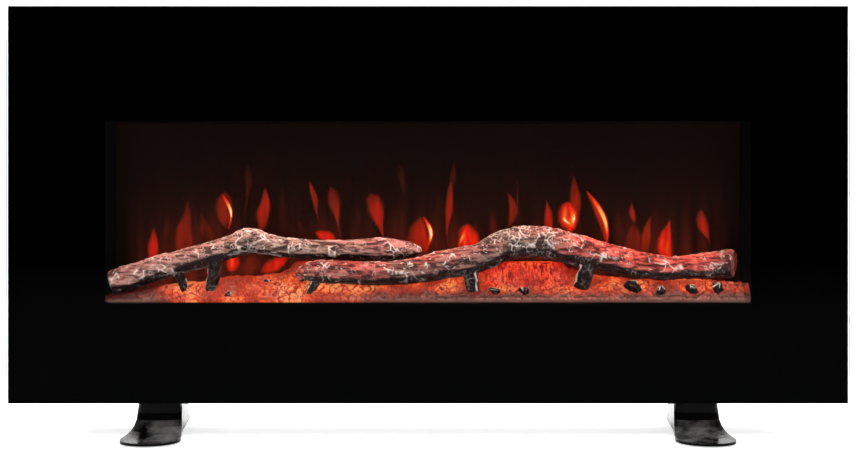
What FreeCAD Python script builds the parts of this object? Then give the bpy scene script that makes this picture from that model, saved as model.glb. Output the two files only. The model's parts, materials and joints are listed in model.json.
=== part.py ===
"""Flat-panel electric fireplace on two flared feet: every piece as its own solid, in millimetres.

The front faces -Y, +Z is up, and the origin is on the floor at the middle of the feet.
Pieces that are the same all round (screws, lugs, LEDs) share one file as separate solids.
"""
import FreeCAD
import Part

import math
import os

V = FreeCAD.Vector
X_AXIS, Y_AXIS, Z_AXIS = V(1, 0, 0), V(0, 1, 0), V(0, 0, 1)

# ---------------------------------------------------------------- driving sizes
# front panel and its window
PANEL_W = 1067.0            # glass width
PANEL_H = 506.0             # glass height
PANEL_LIFT = 42.0           # floor to the lower edge of the glass
GLASS_T = 4.0
GLASS_CORNER_R = 3.0
PRINT_T = 0.3               # black enamel fired on the back of the glass
WINDOW_MARGIN_SIDE = 124.5  # edge of the glass to the clear window
WINDOW_MARGIN_TOP = 147.0
WINDOW_MARGIN_BOTTOM = 127.0

# steel casing behind the glass
CASE_D = 132.0
CASE_INSET_SIDE = 30.0      # how far the glass stands past the casing
CASE_INSET_TOP = 30.0
CASE_INSET_BOTTOM = 28.0
SHEET = 0.8                 # steel sheet of the casing, frame and liner
SEAL_T = 1.0                # foam seal between the glass frame and the casing

# firebox
FIREBOX_MARGIN = 3.0        # liner stands this far outside the clear window
FIREBOX_D = 56.5            # casing front to the flame screen
SCREEN_T = 2.0
FIT_GAP = 0.5               # loose fit of a panel in its frame
TRAY_LIP_H = 6.0
LIGHT_SLOT_D = 26.0         # slot in the tray that lets the ember light up
LIGHT_SLOT_END = 16.0
BED_FRONT_H = 14.0          # ember bed heights above its tray
BED_CREST_H = 48.0
MOUND_H = 57.0              # raised mass of embers under the right-hand log
RETAINER_W = 14.0
RETAINER_D = 6.0
MASK_T = 0.8

# feet
TOE_REACH = 69.0            # toe ahead of the glass face
HEEL_REACH = 22.9           # heel behind the rear cover
FOOT_INSET = 190.0          # side of the glass to the middle of a foot
NECK_HALF_W = 27.0
SOLE_HALF_W = 37.0
SOLE_WIDEST = 40.0          # toe to the widest part of the sole
WAIST_HALF_W = 24.0         # foot's half width halfway back, and at its heel
HEEL_HALF_W = 11.0
NECK_CORNER_R = 12.0
NECK_BACK_GAP = 3.5         # casing front to the front of the neck
NECK_REAR_GAP = 8.5
FLARE_TOP = 41.0            # height where the neck starts to flare
FOOT_RIM_H = 5.0
FOOT_WALL = 3.0
FOOT_TOP_PLATE = 5.0
PAD_R = 9.0
PAD_T = 3.0
PAD_PROUD = 1.5
PAD_BOSS_R = 11.0
PAD_END_GAP = 27.0          # end of the sole to the middle of a pad

# cross-flow blower and heater
IMPELLER_R = 30.0
IMPELLER_L = 310.0
IMPELLER_BLADES = 24
BLADE_CHORD = 9.0
BLADE_T = 1.0
BLOWER_SHAFT_R = 3.0
SCROLL_GAP = 5.0            # impeller to the scroll
SCROLL_T = 1.0
BLOWER_WALL_GAP = 3.5       # scroll to the firebox ceiling and to the rear cover
IMPELLER_END_GAP = 2.0
TONGUE_SETBACK = 14.0
HEATER_H = 18.0
HEATER_FIN_PITCH = 9.0
HEATER_FIN_T = 1.0
HEATER_GAP = 4.0
ROTOR_R = 12.0
ROTOR_GAP = 0.4
STATOR_L = 20.0
STATOR_HALF = 27.0
MOTOR_CAP_T = 2.0
MOTOR_CAP_GAP = 6.0
GRILLE_T = 2.0
GRILLE_RIM = 8.0
LOUVRES = 5
LOUVRE_T = 1.6

# rotating flicker spindle behind the screen
SPINDLE_R = 2.5
FOIL_WALL_GAP = 12.5        # foils to the mask and to the rear cover
FOIL_W = 15.0
FOIL_T = 0.6
FOIL_PITCH = 30.0
FOIL_TILT = 50.0
FOIL_TWIST = 137.5          # turn from one foil to the next, in degrees
SPINDLE_DROP = 6.0          # spindle below the tray
MOTOR_WALL_GAP = 7.5
SPINDLE_MOTOR_L = 18.0
COUPLING_R = 6.0
COUPLING_L = 22.0
BUSH_R = 6.0
SHAFT_GAP = 0.08            # running fit of each shaft in its bearing
BRACKET_T = 1.5
BRACKET_SHARE = 0.55        # half width of a bracket, as a share of the motor's radius
BRACKET_FOOT = 14.0

# light boards
BOARD_T = 1.6
BOARD_W = 12.0
LED_SIZE = 5.0
LED_H = 1.6
LED_PITCH = 33.0
RAIL_W = 16.0
FLAME_RAIL_H = 28.0
EMBER_RAIL_H = 60.0

# controls on the right-hand side
BUTTON_W, BUTTON_H = 12.0, 8.0
BUTTON_PROUD = 2.0
BUTTON_TRAVEL = 1.2
BUTTON_PITCH = 20.0
BUTTON_GAP = 0.3            # clearance round a cap, and between moving and fixed faces
BUTTON_FLANGE = 1.5
BUTTON_FLANGE_T = 1.2
PLUNGER_R, PLUNGER_L = 2.0, 4.0
TACT_SIZE, TACT_BODY_H, TACT_STEM_R, TACT_STEM_H = 6.0, 3.5, 1.75, 0.8
BUTTONS_BELOW_TOP = 90.0    # top of the casing to the first button
BUTTONS_FROM_BACK = 40.0
HOUSING_WALL = 2.0
HOUSING_HALF_W = 12.0
SWITCH_ABOVE_BOTTOM = 70.0  # bottom of the casing to the middle of the main switch
SWITCH_BEZEL_H, SWITCH_BEZEL_W, SWITCH_BEZEL_T = 21.0, 15.0, 1.5
SWITCH_BODY_H, SWITCH_BODY_W, SWITCH_BODY_L = 19.0, 12.8, 14.0
SWITCH_CAVITY_H, SWITCH_CAVITY_W, SWITCH_CAVITY_D = 15.4, 9.4, 8.0
ROCKER_TILT = 9.0           # tilt of the rocker each side of level
ROCKER_HALF_W = 4.4
ROCKER_PIN_R, ROCKER_PIN_GAP, ROCKER_PIN_REACH = 1.2, 0.1, 0.7

# fastenings and entries
SCREW_R = 2.0
SCREW_HEAD_R, SCREW_HEAD_H = 4.0, 2.2
SCREW_L = 9.0
CROSS_HALF_T, CROSS_HALF_L = 0.5, 2.2
HOLE_GAP = 0.25
LUG = 10.0
FOOT_SCREW_R, FOOT_SCREW_HEAD_R, FOOT_SCREW_HEAD_H, FOOT_SCREW_L = 2.5, 4.8, 3.5, 14.0
FOOT_SCREW_DX = 10.0
FOOT_SCREW_RAIL_GAP = 9.0      # light rail to a row of foot screws
NUT_PLATE_T = 4.0
KEYHOLE_R = 6.0
KEYHOLE_SLOT_R = 3.0
KEYHOLE_RISE = 14.0
KEYHOLE_INSET = 123.5       # side of the casing to a keyhole
KEYHOLE_BELOW_TOP = 62.0
GLAND_BORE_R = 3.8
GLAND_NECK_R, GLAND_FLANGE_R, GLAND_FLANGE_T, GLAND_L = 6.5, 9.5, 4.0, 16.0
GLAND_INSET, GLAND_RISE = 40.0, 34.0
VENT_W, VENT_H, VENT_PITCH = 4.0, 36.0, 10.0
VENT_ROW_GAP = 10.0
HOOK_TAB_H, HOOK_TAB_D = 40.0, 16.0
STUD_R, STUD_HEAD_R, STUD_HEAD_H = 2.5, 4.5, 1.6
HOOK_SLOT_H = 18.0
FRAME_LAP = 7.0             # glass frame stands back from the liner
FRAME_GAP = 0.5             # glass frame flange to the casing
FRAME_BOTTOM_INSET = 14.0

# internal leads
LEAD_R = 1.5

# ---------------------------------------------------------------- places worked out from the sizes
PANEL_HW = PANEL_W / 2
PANEL_Z0, PANEL_Z1 = PANEL_LIFT, PANEL_LIFT + PANEL_H
WIN_HW = PANEL_HW - WINDOW_MARGIN_SIDE
WIN_Z0, WIN_Z1 = PANEL_Z0 + WINDOW_MARGIN_BOTTOM, PANEL_Z1 - WINDOW_MARGIN_TOP

FOOT_L = TOE_REACH + GLASS_T + PRINT_T + SHEET + SEAL_T + CASE_D + HEEL_REACH
GLASS_Y0 = TOE_REACH - FOOT_L / 2
GLASS_Y1 = GLASS_Y0 + GLASS_T
PRINT_Y1 = GLASS_Y1 + PRINT_T
FRAME_Y1 = PRINT_Y1 + SHEET
CASE_Y0 = FRAME_Y1 + SEAL_T
CASE_Y1 = CASE_Y0 + CASE_D
IN_Y0, IN_Y1 = CASE_Y0 + SHEET, CASE_Y1 - SHEET

CASE_HW = PANEL_HW - CASE_INSET_SIDE
CASE_Z0, CASE_Z1 = PANEL_Z0 + CASE_INSET_BOTTOM, PANEL_Z1 - CASE_INSET_TOP
IN_HW = CASE_HW - SHEET
IN_Z0, IN_Z1 = CASE_Z0 + SHEET, CASE_Z1 - SHEET

BOX_HW = WIN_HW + FIREBOX_MARGIN
BOX_Z0, BOX_Z1 = WIN_Z0 - FIREBOX_MARGIN - 1.0, WIN_Z1 + FIREBOX_MARGIN + 1.0
SCREEN_Y0 = CASE_Y0 + FIREBOX_D
SCREEN_Y1 = SCREEN_Y0 + SCREEN_T
MASK_Y0 = SCREEN_Y1 + RETAINER_D
MASK_Y1 = MASK_Y0 + MASK_T
CHAMBER_MID_Y = (MASK_Y1 + IN_Y1) / 2

SPINDLE_Y, SPINDLE_Z = CHAMBER_MID_Y, BOX_Z0 - SPINDLE_DROP
SPINDLE_X0, SPINDLE_X1 = -BOX_HW + 8.0, BOX_HW + 10.0
CHAMBER_HALF = (IN_Y1 - MASK_Y1) / 2
FOIL_R = CHAMBER_HALF - FOIL_WALL_GAP
SPINDLE_MOTOR_R = CHAMBER_HALF - MOTOR_WALL_GAP

SCROLL_R = IMPELLER_R + SCROLL_GAP
BLOWER_Y = IN_Y1 - BLOWER_WALL_GAP - SCROLL_R - SCROLL_T
BLOWER_Z = BOX_Z1 + SHEET + BLOWER_WALL_GAP + SCROLL_R + SCROLL_T
BLOWER_HW = IMPELLER_L / 2 + IMPELLER_END_GAP
DUCT_Y0, DUCT_Y1 = BLOWER_Y - SCROLL_R, BLOWER_Y + TONGUE_SETBACK

FOOT_X = PANEL_HW - FOOT_INSET
NECK_Y0, NECK_Y1 = CASE_Y0 + NECK_BACK_GAP, CASE_Y1 - NECK_REAR_GAP

BUTTON_Y = CASE_Y1 - BUTTONS_FROM_BACK
BUTTON_ZS = [CASE_Z1 - BUTTONS_BELOW_TOP - BUTTON_PITCH * i for i in range(4)]
BUTTON_NAMES = ["power_button", "flame_button", "heat_button", "timer_button"]
CAP_X0 = IN_HW - BUTTON_GAP
PLUNGER_X0 = CAP_X0 - BUTTON_FLANGE_T - PLUNGER_L
TACT_TOP_X = PLUNGER_X0 - BUTTON_TRAVEL - BUTTON_GAP
BOARD_X1 = TACT_TOP_X - TACT_STEM_H - TACT_BODY_H
SWITCH_Z = CASE_Z0 + SWITCH_ABOVE_BOTTOM
SWITCH_Y = BUTTON_Y

KEYHOLE_X, KEYHOLE_Z = CASE_HW - KEYHOLE_INSET, CASE_Z1 - KEYHOLE_BELOW_TOP
GLAND_X, GLAND_Z = CASE_HW - GLAND_INSET, CASE_Z0 + GLAND_RISE


# ---------------------------------------------------------------- helpers
def box(xs, ys, zs):
    """A block between two values on each axis."""
    return Part.makeBox(xs[1] - xs[0], ys[1] - ys[0], zs[1] - zs[0], V(xs[0], ys[0], zs[0]))


def rod(radius, length, start, axis):
    return Part.makeCylinder(radius, length, start, axis)


def both_sides(shape):
    """The shape and its mirror image across the middle plane, as separate solids."""
    return [shape, shape.mirror(V(0, 0, 0), X_AXIS)]


def group(shapes):
    return Part.makeCompound(shapes)


def fused(shapes):
    whole = shapes[0].fuse(shapes[1:]) if len(shapes) > 1 else shapes[0]
    return whole.removeSplitter()


def steps(low, high, pitch):
    """Evenly spaced places about the middle of low to high, one pitch apart."""
    count = int((high - low) // pitch) + 1
    first = (low + high) / 2 - (count - 1) * pitch / 2
    return [first + pitch * i for i in range(count)]


def outline_yz(points, x0, x1):
    """A prism along X from a closed outline of (y, z) points."""
    wire = Part.makePolygon([V(x0, y, z) for y, z in points + points[:1]])
    return Part.Face(wire).extrude(V(x1 - x0, 0, 0))


def rounded_outline(half_w, y0, y1, radius, z):
    """A rounded rectangle at one height: four sides and four corner arcs."""
    bend = math.sqrt(0.5) * radius
    inner_x, inner_y0, inner_y1 = half_w - radius, y0 + radius, y1 - radius
    corners = [(inner_x, inner_y0, 1, -1), (inner_x, inner_y1, 1, 1),
               (-inner_x, inner_y1, -1, 1), (-inner_x, inner_y0, -1, -1)]
    edges = []
    ends = []
    for i, (cx, cy, sx, sy) in enumerate(corners):
        a, b = V(cx + sx * radius, cy, z), V(cx, cy + sy * radius, z)
        if i % 2 == 0:
            a, b = b, a
        ends.append((a, b))
        edges.append(Part.Arc(a, V(cx + sx * bend, cy + sy * bend, z), b).toShape())
    sides = [Part.LineSegment(ends[i][1], ends[(i + 1) % 4][0]).toShape() for i in range(4)]
    ordered = [edge for pair in zip(edges, sides) for edge in pair]
    return Part.Wire(ordered)


def tube(points, radius):
    """A lead along straight runs joined by tangent arcs."""
    points = [V(*p) for p in points]
    edges, start = [], points[0]
    for before, corner, after in zip(points, points[1:], points[2:]):
        u, v = (before - corner).normalize(), (after - corner).normalize()
        half_turn = (math.pi - u.getAngle(v)) / 2
        shorter = min((before - corner).Length, (after - corner).Length)
        arc_r = 0.45 * shorter / math.tan(half_turn)
        back = arc_r * math.tan(half_turn)
        a, b = corner + u * back, corner + v * back
        inward = (u + v).normalize()
        middle = corner + inward * (arc_r / math.cos(half_turn) - arc_r)
        edges += [Part.LineSegment(start, a).toShape(), Part.Arc(a, middle, b).toShape()]
        start = b
    edges.append(Part.LineSegment(start, points[-1]).toShape())
    first = (points[1] - points[0]).normalize()
    profile = Part.Wire(Part.makeCircle(radius, points[0], first))
    return Part.Wire(edges).makePipeShell([profile], True, False)


# ---------------------------------------------------------------- front panel
def front_glass():
    sheet = box((-PANEL_HW, PANEL_HW), (GLASS_Y0, GLASS_Y1), (PANEL_Z0, PANEL_Z1))
    corners = [e for e in sheet.Edges if abs(e.BoundBox.YLength - GLASS_T) < 1e-6]
    return sheet.makeFillet(GLASS_CORNER_R, corners)


def glass_print():
    layer = box((-PANEL_HW + 1, PANEL_HW - 1), (GLASS_Y1, PRINT_Y1), (PANEL_Z0 + 1, PANEL_Z1 - 1))
    clear = box((-WIN_HW, WIN_HW), (GLASS_Y1 - 1, PRINT_Y1 + 1), (WIN_Z0, WIN_Z1))
    return layer.cut(clear)


FRAME_OUT_X = CASE_HW + FRAME_GAP + SHEET
FRAME_IN_X = BOX_HW + FRAME_LAP
FRAME_TOP = CASE_Z1 + FRAME_GAP + SHEET
FRAME_Z = (CASE_Z0 - FRAME_BOTTOM_INSET, BOX_Z0 - FRAME_LAP, BOX_Z1 + FRAME_LAP, FRAME_TOP)
HOOK_ZS = [FRAME_Z[1] + 20.0, FRAME_Z[2] - 20.0 - HOOK_TAB_H]
LOCK_Z = (FRAME_Z[1] + FRAME_Z[2]) / 2


def glass_frame():
    """Steel frame bonded behind the glass: two rails, and two stiles with tabs folded back along
    the casing to hook on its studs and take a locking screw."""
    ys = (PRINT_Y1, FRAME_Y1)
    top = box((-FRAME_OUT_X, FRAME_OUT_X), ys, (FRAME_Z[2], FRAME_Z[3]))
    lip = box((-FRAME_OUT_X, FRAME_OUT_X), (PRINT_Y1, FRAME_Y1 + HOOK_TAB_D), (FRAME_TOP - SHEET, FRAME_TOP))
    bottom = box((-IN_HW, IN_HW), ys, (FRAME_Z[0], FRAME_Z[1]))
    plate = box((FRAME_IN_X, FRAME_OUT_X), (PRINT_Y1, FRAME_Y1), (FRAME_Z[1], FRAME_Z[2]))
    pieces = [plate]
    tab_x, tab_y = (FRAME_OUT_X - SHEET, FRAME_OUT_X), (PRINT_Y1, FRAME_Y1 + HOOK_TAB_D)
    for z in HOOK_ZS:
        tab = box(tab_x, tab_y, (z, z + HOOK_TAB_H))
        slot_r = STUD_R + HOLE_GAP
        slot_top = z + HOOK_SLOT_H
        slot = box((CASE_HW, FRAME_OUT_X + 1), (stud_y() - slot_r, stud_y() + slot_r), (z - 1, slot_top))
        end = rod(slot_r, FRAME_OUT_X + 1 - CASE_HW, V(CASE_HW, stud_y(), slot_top), X_AXIS)
        pieces.append(tab.cut(slot.fuse(end)))
    lock = box(tab_x, tab_y, (LOCK_Z - HOOK_TAB_H / 4, LOCK_Z + HOOK_TAB_H / 4))
    pieces.append(lock.cut(rod(SCREW_R + HOLE_GAP, 4 * SHEET, V(CASE_HW - SHEET, stud_y(), LOCK_Z), X_AXIS)))
    return group([fused([top, lip]), bottom] + both_sides(fused(pieces)))


def stud_y():
    return FRAME_Y1 + HOOK_TAB_D / 2 + 1.0


def hanger_studs():
    """Shoulder rivets on the casing sides that the hook tabs drop over."""
    studs = []
    for z in HOOK_ZS:
        at = V(CASE_HW, stud_y(), z + HOOK_SLOT_H)
        shank = rod(STUD_R, FRAME_GAP + SHEET + HOLE_GAP, at, X_AXIS)
        head = rod(STUD_HEAD_R, STUD_HEAD_H, at + X_AXIS * (FRAME_GAP + SHEET + HOLE_GAP), X_AXIS)
        studs += both_sides(shank.fuse(head))
    return group(studs)


def light_seal():
    """Foam strips that close the gap between the glass frame and the casing."""
    ys = (FRAME_Y1, CASE_Y0)
    top = box((-CASE_HW + 4, CASE_HW - 4), ys, (FRAME_Z[2] + 4, FRAME_Z[2] + 16))
    bottom = box((-CASE_HW + 4, CASE_HW - 4), ys, (FRAME_Z[1] - 16, FRAME_Z[1] - 4))
    side = box((FRAME_IN_X + 4, FRAME_IN_X + 16), ys, (FRAME_Z[1] - 4, FRAME_Z[2] + 4))
    return group([top, bottom] + both_sides(side))


# ---------------------------------------------------------------- casing
def case_front():
    """Front of the casing as four plates round the firebox."""
    ys = (CASE_Y0, IN_Y0)
    top = box((-CASE_HW, CASE_HW), ys, (BOX_Z1, CASE_Z1))
    bottom = box((-CASE_HW, CASE_HW), ys, (CASE_Z0, BOX_Z0))
    return group([top, bottom] + both_sides(box((BOX_HW, CASE_HW), ys, (BOX_Z0, BOX_Z1))))


def side_plate():
    plate = box((IN_HW, CASE_HW), (IN_Y0, IN_Y1), (CASE_Z0, CASE_Z1))
    return plate.cut(rod(SCREW_R, 3 * SHEET, V(IN_HW - SHEET, stud_y(), LOCK_Z), X_AXIS))


def case_left_side():
    return side_plate().mirror(V(0, 0, 0), X_AXIS)


def case_right_side():
    """Right-hand side, cut for the four push buttons and the main switch."""
    plate = side_plate()
    xs = (IN_HW - 1, CASE_HW + 1)
    for z in BUTTON_ZS:
        half_w, half_h = BUTTON_W / 2 + BUTTON_GAP, BUTTON_H / 2 + BUTTON_GAP
        plate = plate.cut(box(xs, (BUTTON_Y - half_w, BUTTON_Y + half_w), (z - half_h, z + half_h)))
    half_w, half_h = SWITCH_BODY_W / 2, SWITCH_BODY_H / 2
    return plate.cut(box(xs, (SWITCH_Y - half_w, SWITCH_Y + half_w), (SWITCH_Z - half_h, SWITCH_Z + half_h)))


def case_top():
    plate = box((-IN_HW, IN_HW), (IN_Y0, IN_Y1), (IN_Z1, CASE_Z1))
    outlet = box((-BLOWER_HW, BLOWER_HW), (DUCT_Y0, DUCT_Y1), (IN_Z1 - 1, CASE_Z1 + 1))
    return plate.cut(outlet)


def foot_screw_rows():
    """Depths of the two rows of screws, between the two light rails."""
    return (ember_rail_y() + RAIL_W / 2 + FOOT_SCREW_RAIL_GAP, SPINDLE_Y - RAIL_W / 2 - FOOT_SCREW_RAIL_GAP)


def foot_screw_places():
    return [(sx * FOOT_SCREW_DX, y) for sx in (-1, 1) for y in foot_screw_rows()]


def case_bottom():
    plate = box((-IN_HW, IN_HW), (IN_Y0, IN_Y1), (CASE_Z0, IN_Z0))
    for side in (-1, 1):
        for x, y in foot_screw_places():
            at = V(side * FOOT_X + x, y, CASE_Z0 - 1)
            plate = plate.cut(rod(FOOT_SCREW_R + HOLE_GAP, SHEET + 2, at, Z_AXIS))
    return plate


def cover_screw_places():
    """(x, z) of each screw round the rear cover, with the wall that its lug stands on."""
    side_x = IN_HW - LUG / 2
    sides = [(sx * side_x, z) for sx in (-1, 1)
             for z in (CASE_Z0 + 60, (CASE_Z0 + CASE_Z1) / 2, CASE_Z1 - 60)]
    edge_x = CASE_HW / 2
    edges = [(sx * edge_x, z) for sx in (-1, 1) for z in (IN_Z0 + LUG / 2, IN_Z1 - LUG / 2)]
    return sides + edges


def keyhole_cut(x, y0, depth):
    big = rod(KEYHOLE_R, depth, V(x, y0, KEYHOLE_Z), Y_AXIS)
    top = rod(KEYHOLE_SLOT_R, depth, V(x, y0, KEYHOLE_Z + KEYHOLE_RISE), Y_AXIS)
    neck_xs, neck_zs = (x - KEYHOLE_SLOT_R, x + KEYHOLE_SLOT_R), (KEYHOLE_Z, KEYHOLE_Z + KEYHOLE_RISE)
    neck = box(neck_xs, (y0, y0 + depth), neck_zs)
    return big.fuse([top, neck])


def vent_slots():
    """Two rows of intake slots behind the blower and one row low down for the boards."""
    upper_z = IN_Z1 - 18 - VENT_H
    rows = [(upper_z, IMPELLER_L / 2), (upper_z - VENT_ROW_GAP - VENT_H, IMPELLER_L / 2),
            (IN_Z0 + 22, IMPELLER_L / 3)]
    slots = []
    for z, half in rows:
        for x in steps(-half, half, VENT_PITCH):
            slots.append(box((x - VENT_W / 2, x + VENT_W / 2), (IN_Y1 - 1, CASE_Y1 + 1), (z, z + VENT_H)))
    return slots


def rear_cover():
    plate = box((-CASE_HW, CASE_HW), (IN_Y1, CASE_Y1), (CASE_Z0, CASE_Z1))
    cuts = vent_slots()
    cuts += [keyhole_cut(sx * KEYHOLE_X, IN_Y1 - 1, SHEET + 2) for sx in (-1, 1)]
    cuts += [rod(SCREW_R + HOLE_GAP, SHEET + 2, V(x, IN_Y1 - 1, z), Y_AXIS) for x, z in cover_screw_places()]
    cuts.append(rod(GLAND_NECK_R, SHEET + 2, V(GLAND_X, IN_Y1 - 1, GLAND_Z), Y_AXIS))
    return plate.cut(cuts)


def cover_lugs():
    lugs = []
    for x, z in cover_screw_places():
        lug = box((x - LUG / 2, x + LUG / 2), (IN_Y1 - LUG, IN_Y1), (z - LUG / 2, z + LUG / 2))
        lugs.append(lug.cut(rod(SCREW_R, LUG + 2, V(x, IN_Y1 - LUG - 1, z), Y_AXIS)))
    return group(lugs)


def casing_screw(at, out):
    """Cross-head screw seated at one point, its head standing out along one direction."""
    head = rod(SCREW_HEAD_R, SCREW_HEAD_H, at, out)
    shank = rod(SCREW_R, SCREW_L, at - out * SCREW_L, out)
    side = out.cross(Z_AXIS)
    slots = []
    for across, up in ((side, Z_AXIS), (Z_AXIS, side)):
        corner = at + out * (SCREW_HEAD_H * 0.4) - across * CROSS_HALF_T - up * CROSS_HALF_L
        spots = [corner, corner + across * (2 * CROSS_HALF_T)]
        spots += [spots[1] + up * (2 * CROSS_HALF_L), corner + up * (2 * CROSS_HALF_L), corner]
        slots.append(Part.Face(Part.makePolygon(spots)).extrude(out * SCREW_HEAD_H))
    return head.fuse(shank).cut(slots)


def casing_screws():
    """The screws round the rear cover, and one each side that locks the glass frame."""
    screws = [casing_screw(V(x, CASE_Y1, z), Y_AXIS) for x, z in cover_screw_places()]
    lock_x = FRAME_OUT_X
    screws += [casing_screw(V(side * lock_x, stud_y(), LOCK_Z), X_AXIS * side) for side in (-1, 1)]
    return group(screws)


def cable_gland():
    """Flanged bush clamped through the rear cover, bored for the supply cord."""
    flange = rod(GLAND_FLANGE_R, GLAND_FLANGE_T, V(GLAND_X, CASE_Y1, GLAND_Z), Y_AXIS)
    outer_y = CASE_Y1 + GLAND_FLANGE_T
    flange = flange.makeFillet(1.0, [e for e in flange.Edges if abs(e.BoundBox.YMin - outer_y) < 1e-6])
    neck = rod(GLAND_NECK_R, GLAND_L, V(GLAND_X, CASE_Y1 - GLAND_L, GLAND_Z), Y_AXIS)
    bore = rod(GLAND_BORE_R, GLAND_L + GLAND_FLANGE_T + 2, V(GLAND_X, CASE_Y1 - GLAND_L - 1, GLAND_Z), Y_AXIS)
    return fused([flange, neck]).cut(bore)


# ---------------------------------------------------------------- firebox
def firebox_liner():
    """Ceiling and side walls of the firebox."""
    ceiling = box((-BOX_HW - SHEET, BOX_HW + SHEET), (IN_Y0, SCREEN_Y1), (BOX_Z1, BOX_Z1 + SHEET))
    side = box((BOX_HW, BOX_HW + SHEET), (IN_Y0, SCREEN_Y1), (BOX_Z0 - SHEET, BOX_Z1))
    return group([ceiling] + both_sides(side))


def ember_tray():
    """Sheet tray with a front lip and a long slot over the ember lights."""
    floor = box((-BOX_HW, BOX_HW), (IN_Y0, SCREEN_Y1), (BOX_Z0 - SHEET, BOX_Z0))
    lip = box((-BOX_HW, BOX_HW), (IN_Y0, IN_Y0 + SHEET), (BOX_Z0 - SHEET, BOX_Z0 + TRAY_LIP_H))
    slot_x = BOX_HW - LIGHT_SLOT_END
    slot_y = ember_rail_y()
    half = LIGHT_SLOT_D / 2
    slot = box((-slot_x, slot_x), (slot_y - half, slot_y + half), (BOX_Z0 - 2 * SHEET, BOX_Z0 + 1))
    return fused([floor, lip]).cut(slot)


def flame_screen():
    xs = (-BOX_HW + FIT_GAP, BOX_HW - FIT_GAP)
    return box(xs, (SCREEN_Y0, SCREEN_Y1), (BOX_Z0 + FIT_GAP, BOX_Z1 - FIT_GAP))


def screen_retainers():
    """Angle strips behind the screen, at both sides and along the top."""
    def angle(xs, zs, leg_xs, leg_zs):
        strip = box(xs, (SCREEN_Y1, SCREEN_Y1 + SHEET), zs)
        return fused([strip, box(leg_xs, (SCREEN_Y1, MASK_Y0), leg_zs)])
    inner = BOX_HW - RETAINER_W
    side_zs = (BOX_Z0, BOX_Z1 - RETAINER_W)
    side = angle((inner, BOX_HW), side_zs, (inner, inner + SHEET), side_zs)
    top_zs = (BOX_Z1 - RETAINER_W, BOX_Z1)
    top = angle((-BOX_HW, BOX_HW), top_zs, (-BOX_HW, BOX_HW), (top_zs[0], top_zs[0] + SHEET))
    return group(both_sides(side) + [top])


def flame_hole(x, width, height):
    """A leaning leaf-shaped hole for one flame."""
    foot_z = BOX_Z0 + 26.0
    tip = V(x + width * 0.25, MASK_Y0 - 1, foot_z + height)
    left = V(x - width / 2, tip.y, foot_z + height * 0.35)
    right = V(x + width / 2, tip.y, foot_z + height * 0.3)
    base = V(x, tip.y, foot_z)
    sides = [Part.Arc(base, right, tip).toShape(), Part.Arc(tip, left, base).toShape()]
    return Part.Face(Part.Wire(sides)).extrude(V(0, MASK_T + 2, 0))


def flame_mask():
    """Bright sheet behind the screen whose leaf-shaped holes throw the flame shapes."""
    half = BOX_HW - RETAINER_W + SHEET
    plate = box((-half, half), (MASK_Y0, MASK_Y1), (BOX_Z0 + 10, BOX_Z1 - RETAINER_W + SHEET))
    room = BOX_Z1 - BOX_Z0 - 26.0 - 2 * RETAINER_W
    holes = []
    for i, x in enumerate(steps(-half + 40, half - 40, 52.0)):
        height = room * (0.45 + 0.17 * ((i * 5) % 4))
        holes.append(flame_hole(x, 15.0 + 3.0 * (i % 3), height))
    return plate.cut(holes)


def bed_y():
    return (IN_Y0 + SHEET + 0.2, SCREEN_Y0 - FIT_GAP)


def bed_profile():
    """Outline of the ember bed from its front edge, over the shoulder, to the crest at the screen."""
    y0, y1 = bed_y()
    return [(y0, 0), (y1, 0), (y1, BED_CREST_H - 4), (y1 - 9, BED_CREST_H),
            (y0 + 14, BED_FRONT_H + 13), (y0 + 4, BED_FRONT_H), (y0, BED_FRONT_H - 5)]


def bed_height(y):
    """Height of the bed above its tray at one depth, read along its outline."""
    ridge = bed_profile()[:2:-1] + [bed_profile()[2]]
    for (y_a, h_a), (y_b, h_b) in zip(ridge, ridge[1:]):
        if y_a <= y <= y_b:
            return h_a + (h_b - h_a) * (y - y_a) / (y_b - y_a)
    return BED_CREST_H


def ember_mound():
    """Raised mass of embers under the knuckle of the right-hand log."""
    y1 = bed_y()[1]
    y0 = depth_at(0.36)
    points = [(y0, 0), (y1 - 9, 0), (y1 - 9, MOUND_H - 3), (y0 + 12, MOUND_H), (y0 + 3, MOUND_H - 6)]
    return outline_yz([(y, BOX_Z0 + h) for y, h in points], 0.165 * BOX_HW, 0.46 * BOX_HW)


def ember_bed(set_in):
    """The bed with its mound, hollowed where the logs and charred lumps are set into it."""
    points = [(y, BOX_Z0 + h) for y, h in bed_profile()]
    bed = outline_yz(points, -BOX_HW + FIT_GAP, BOX_HW - FIT_GAP)
    bed = bed.fuse(ember_mound()).cut(set_in)
    return max(bed.Solids, key=lambda solid: solid.Volume)


def depth_at(place):
    """Depth in the firebox, from the casing front (0) to the flame screen (1)."""
    return IN_Y0 + place * (SCREEN_Y0 - IN_Y0)


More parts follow.
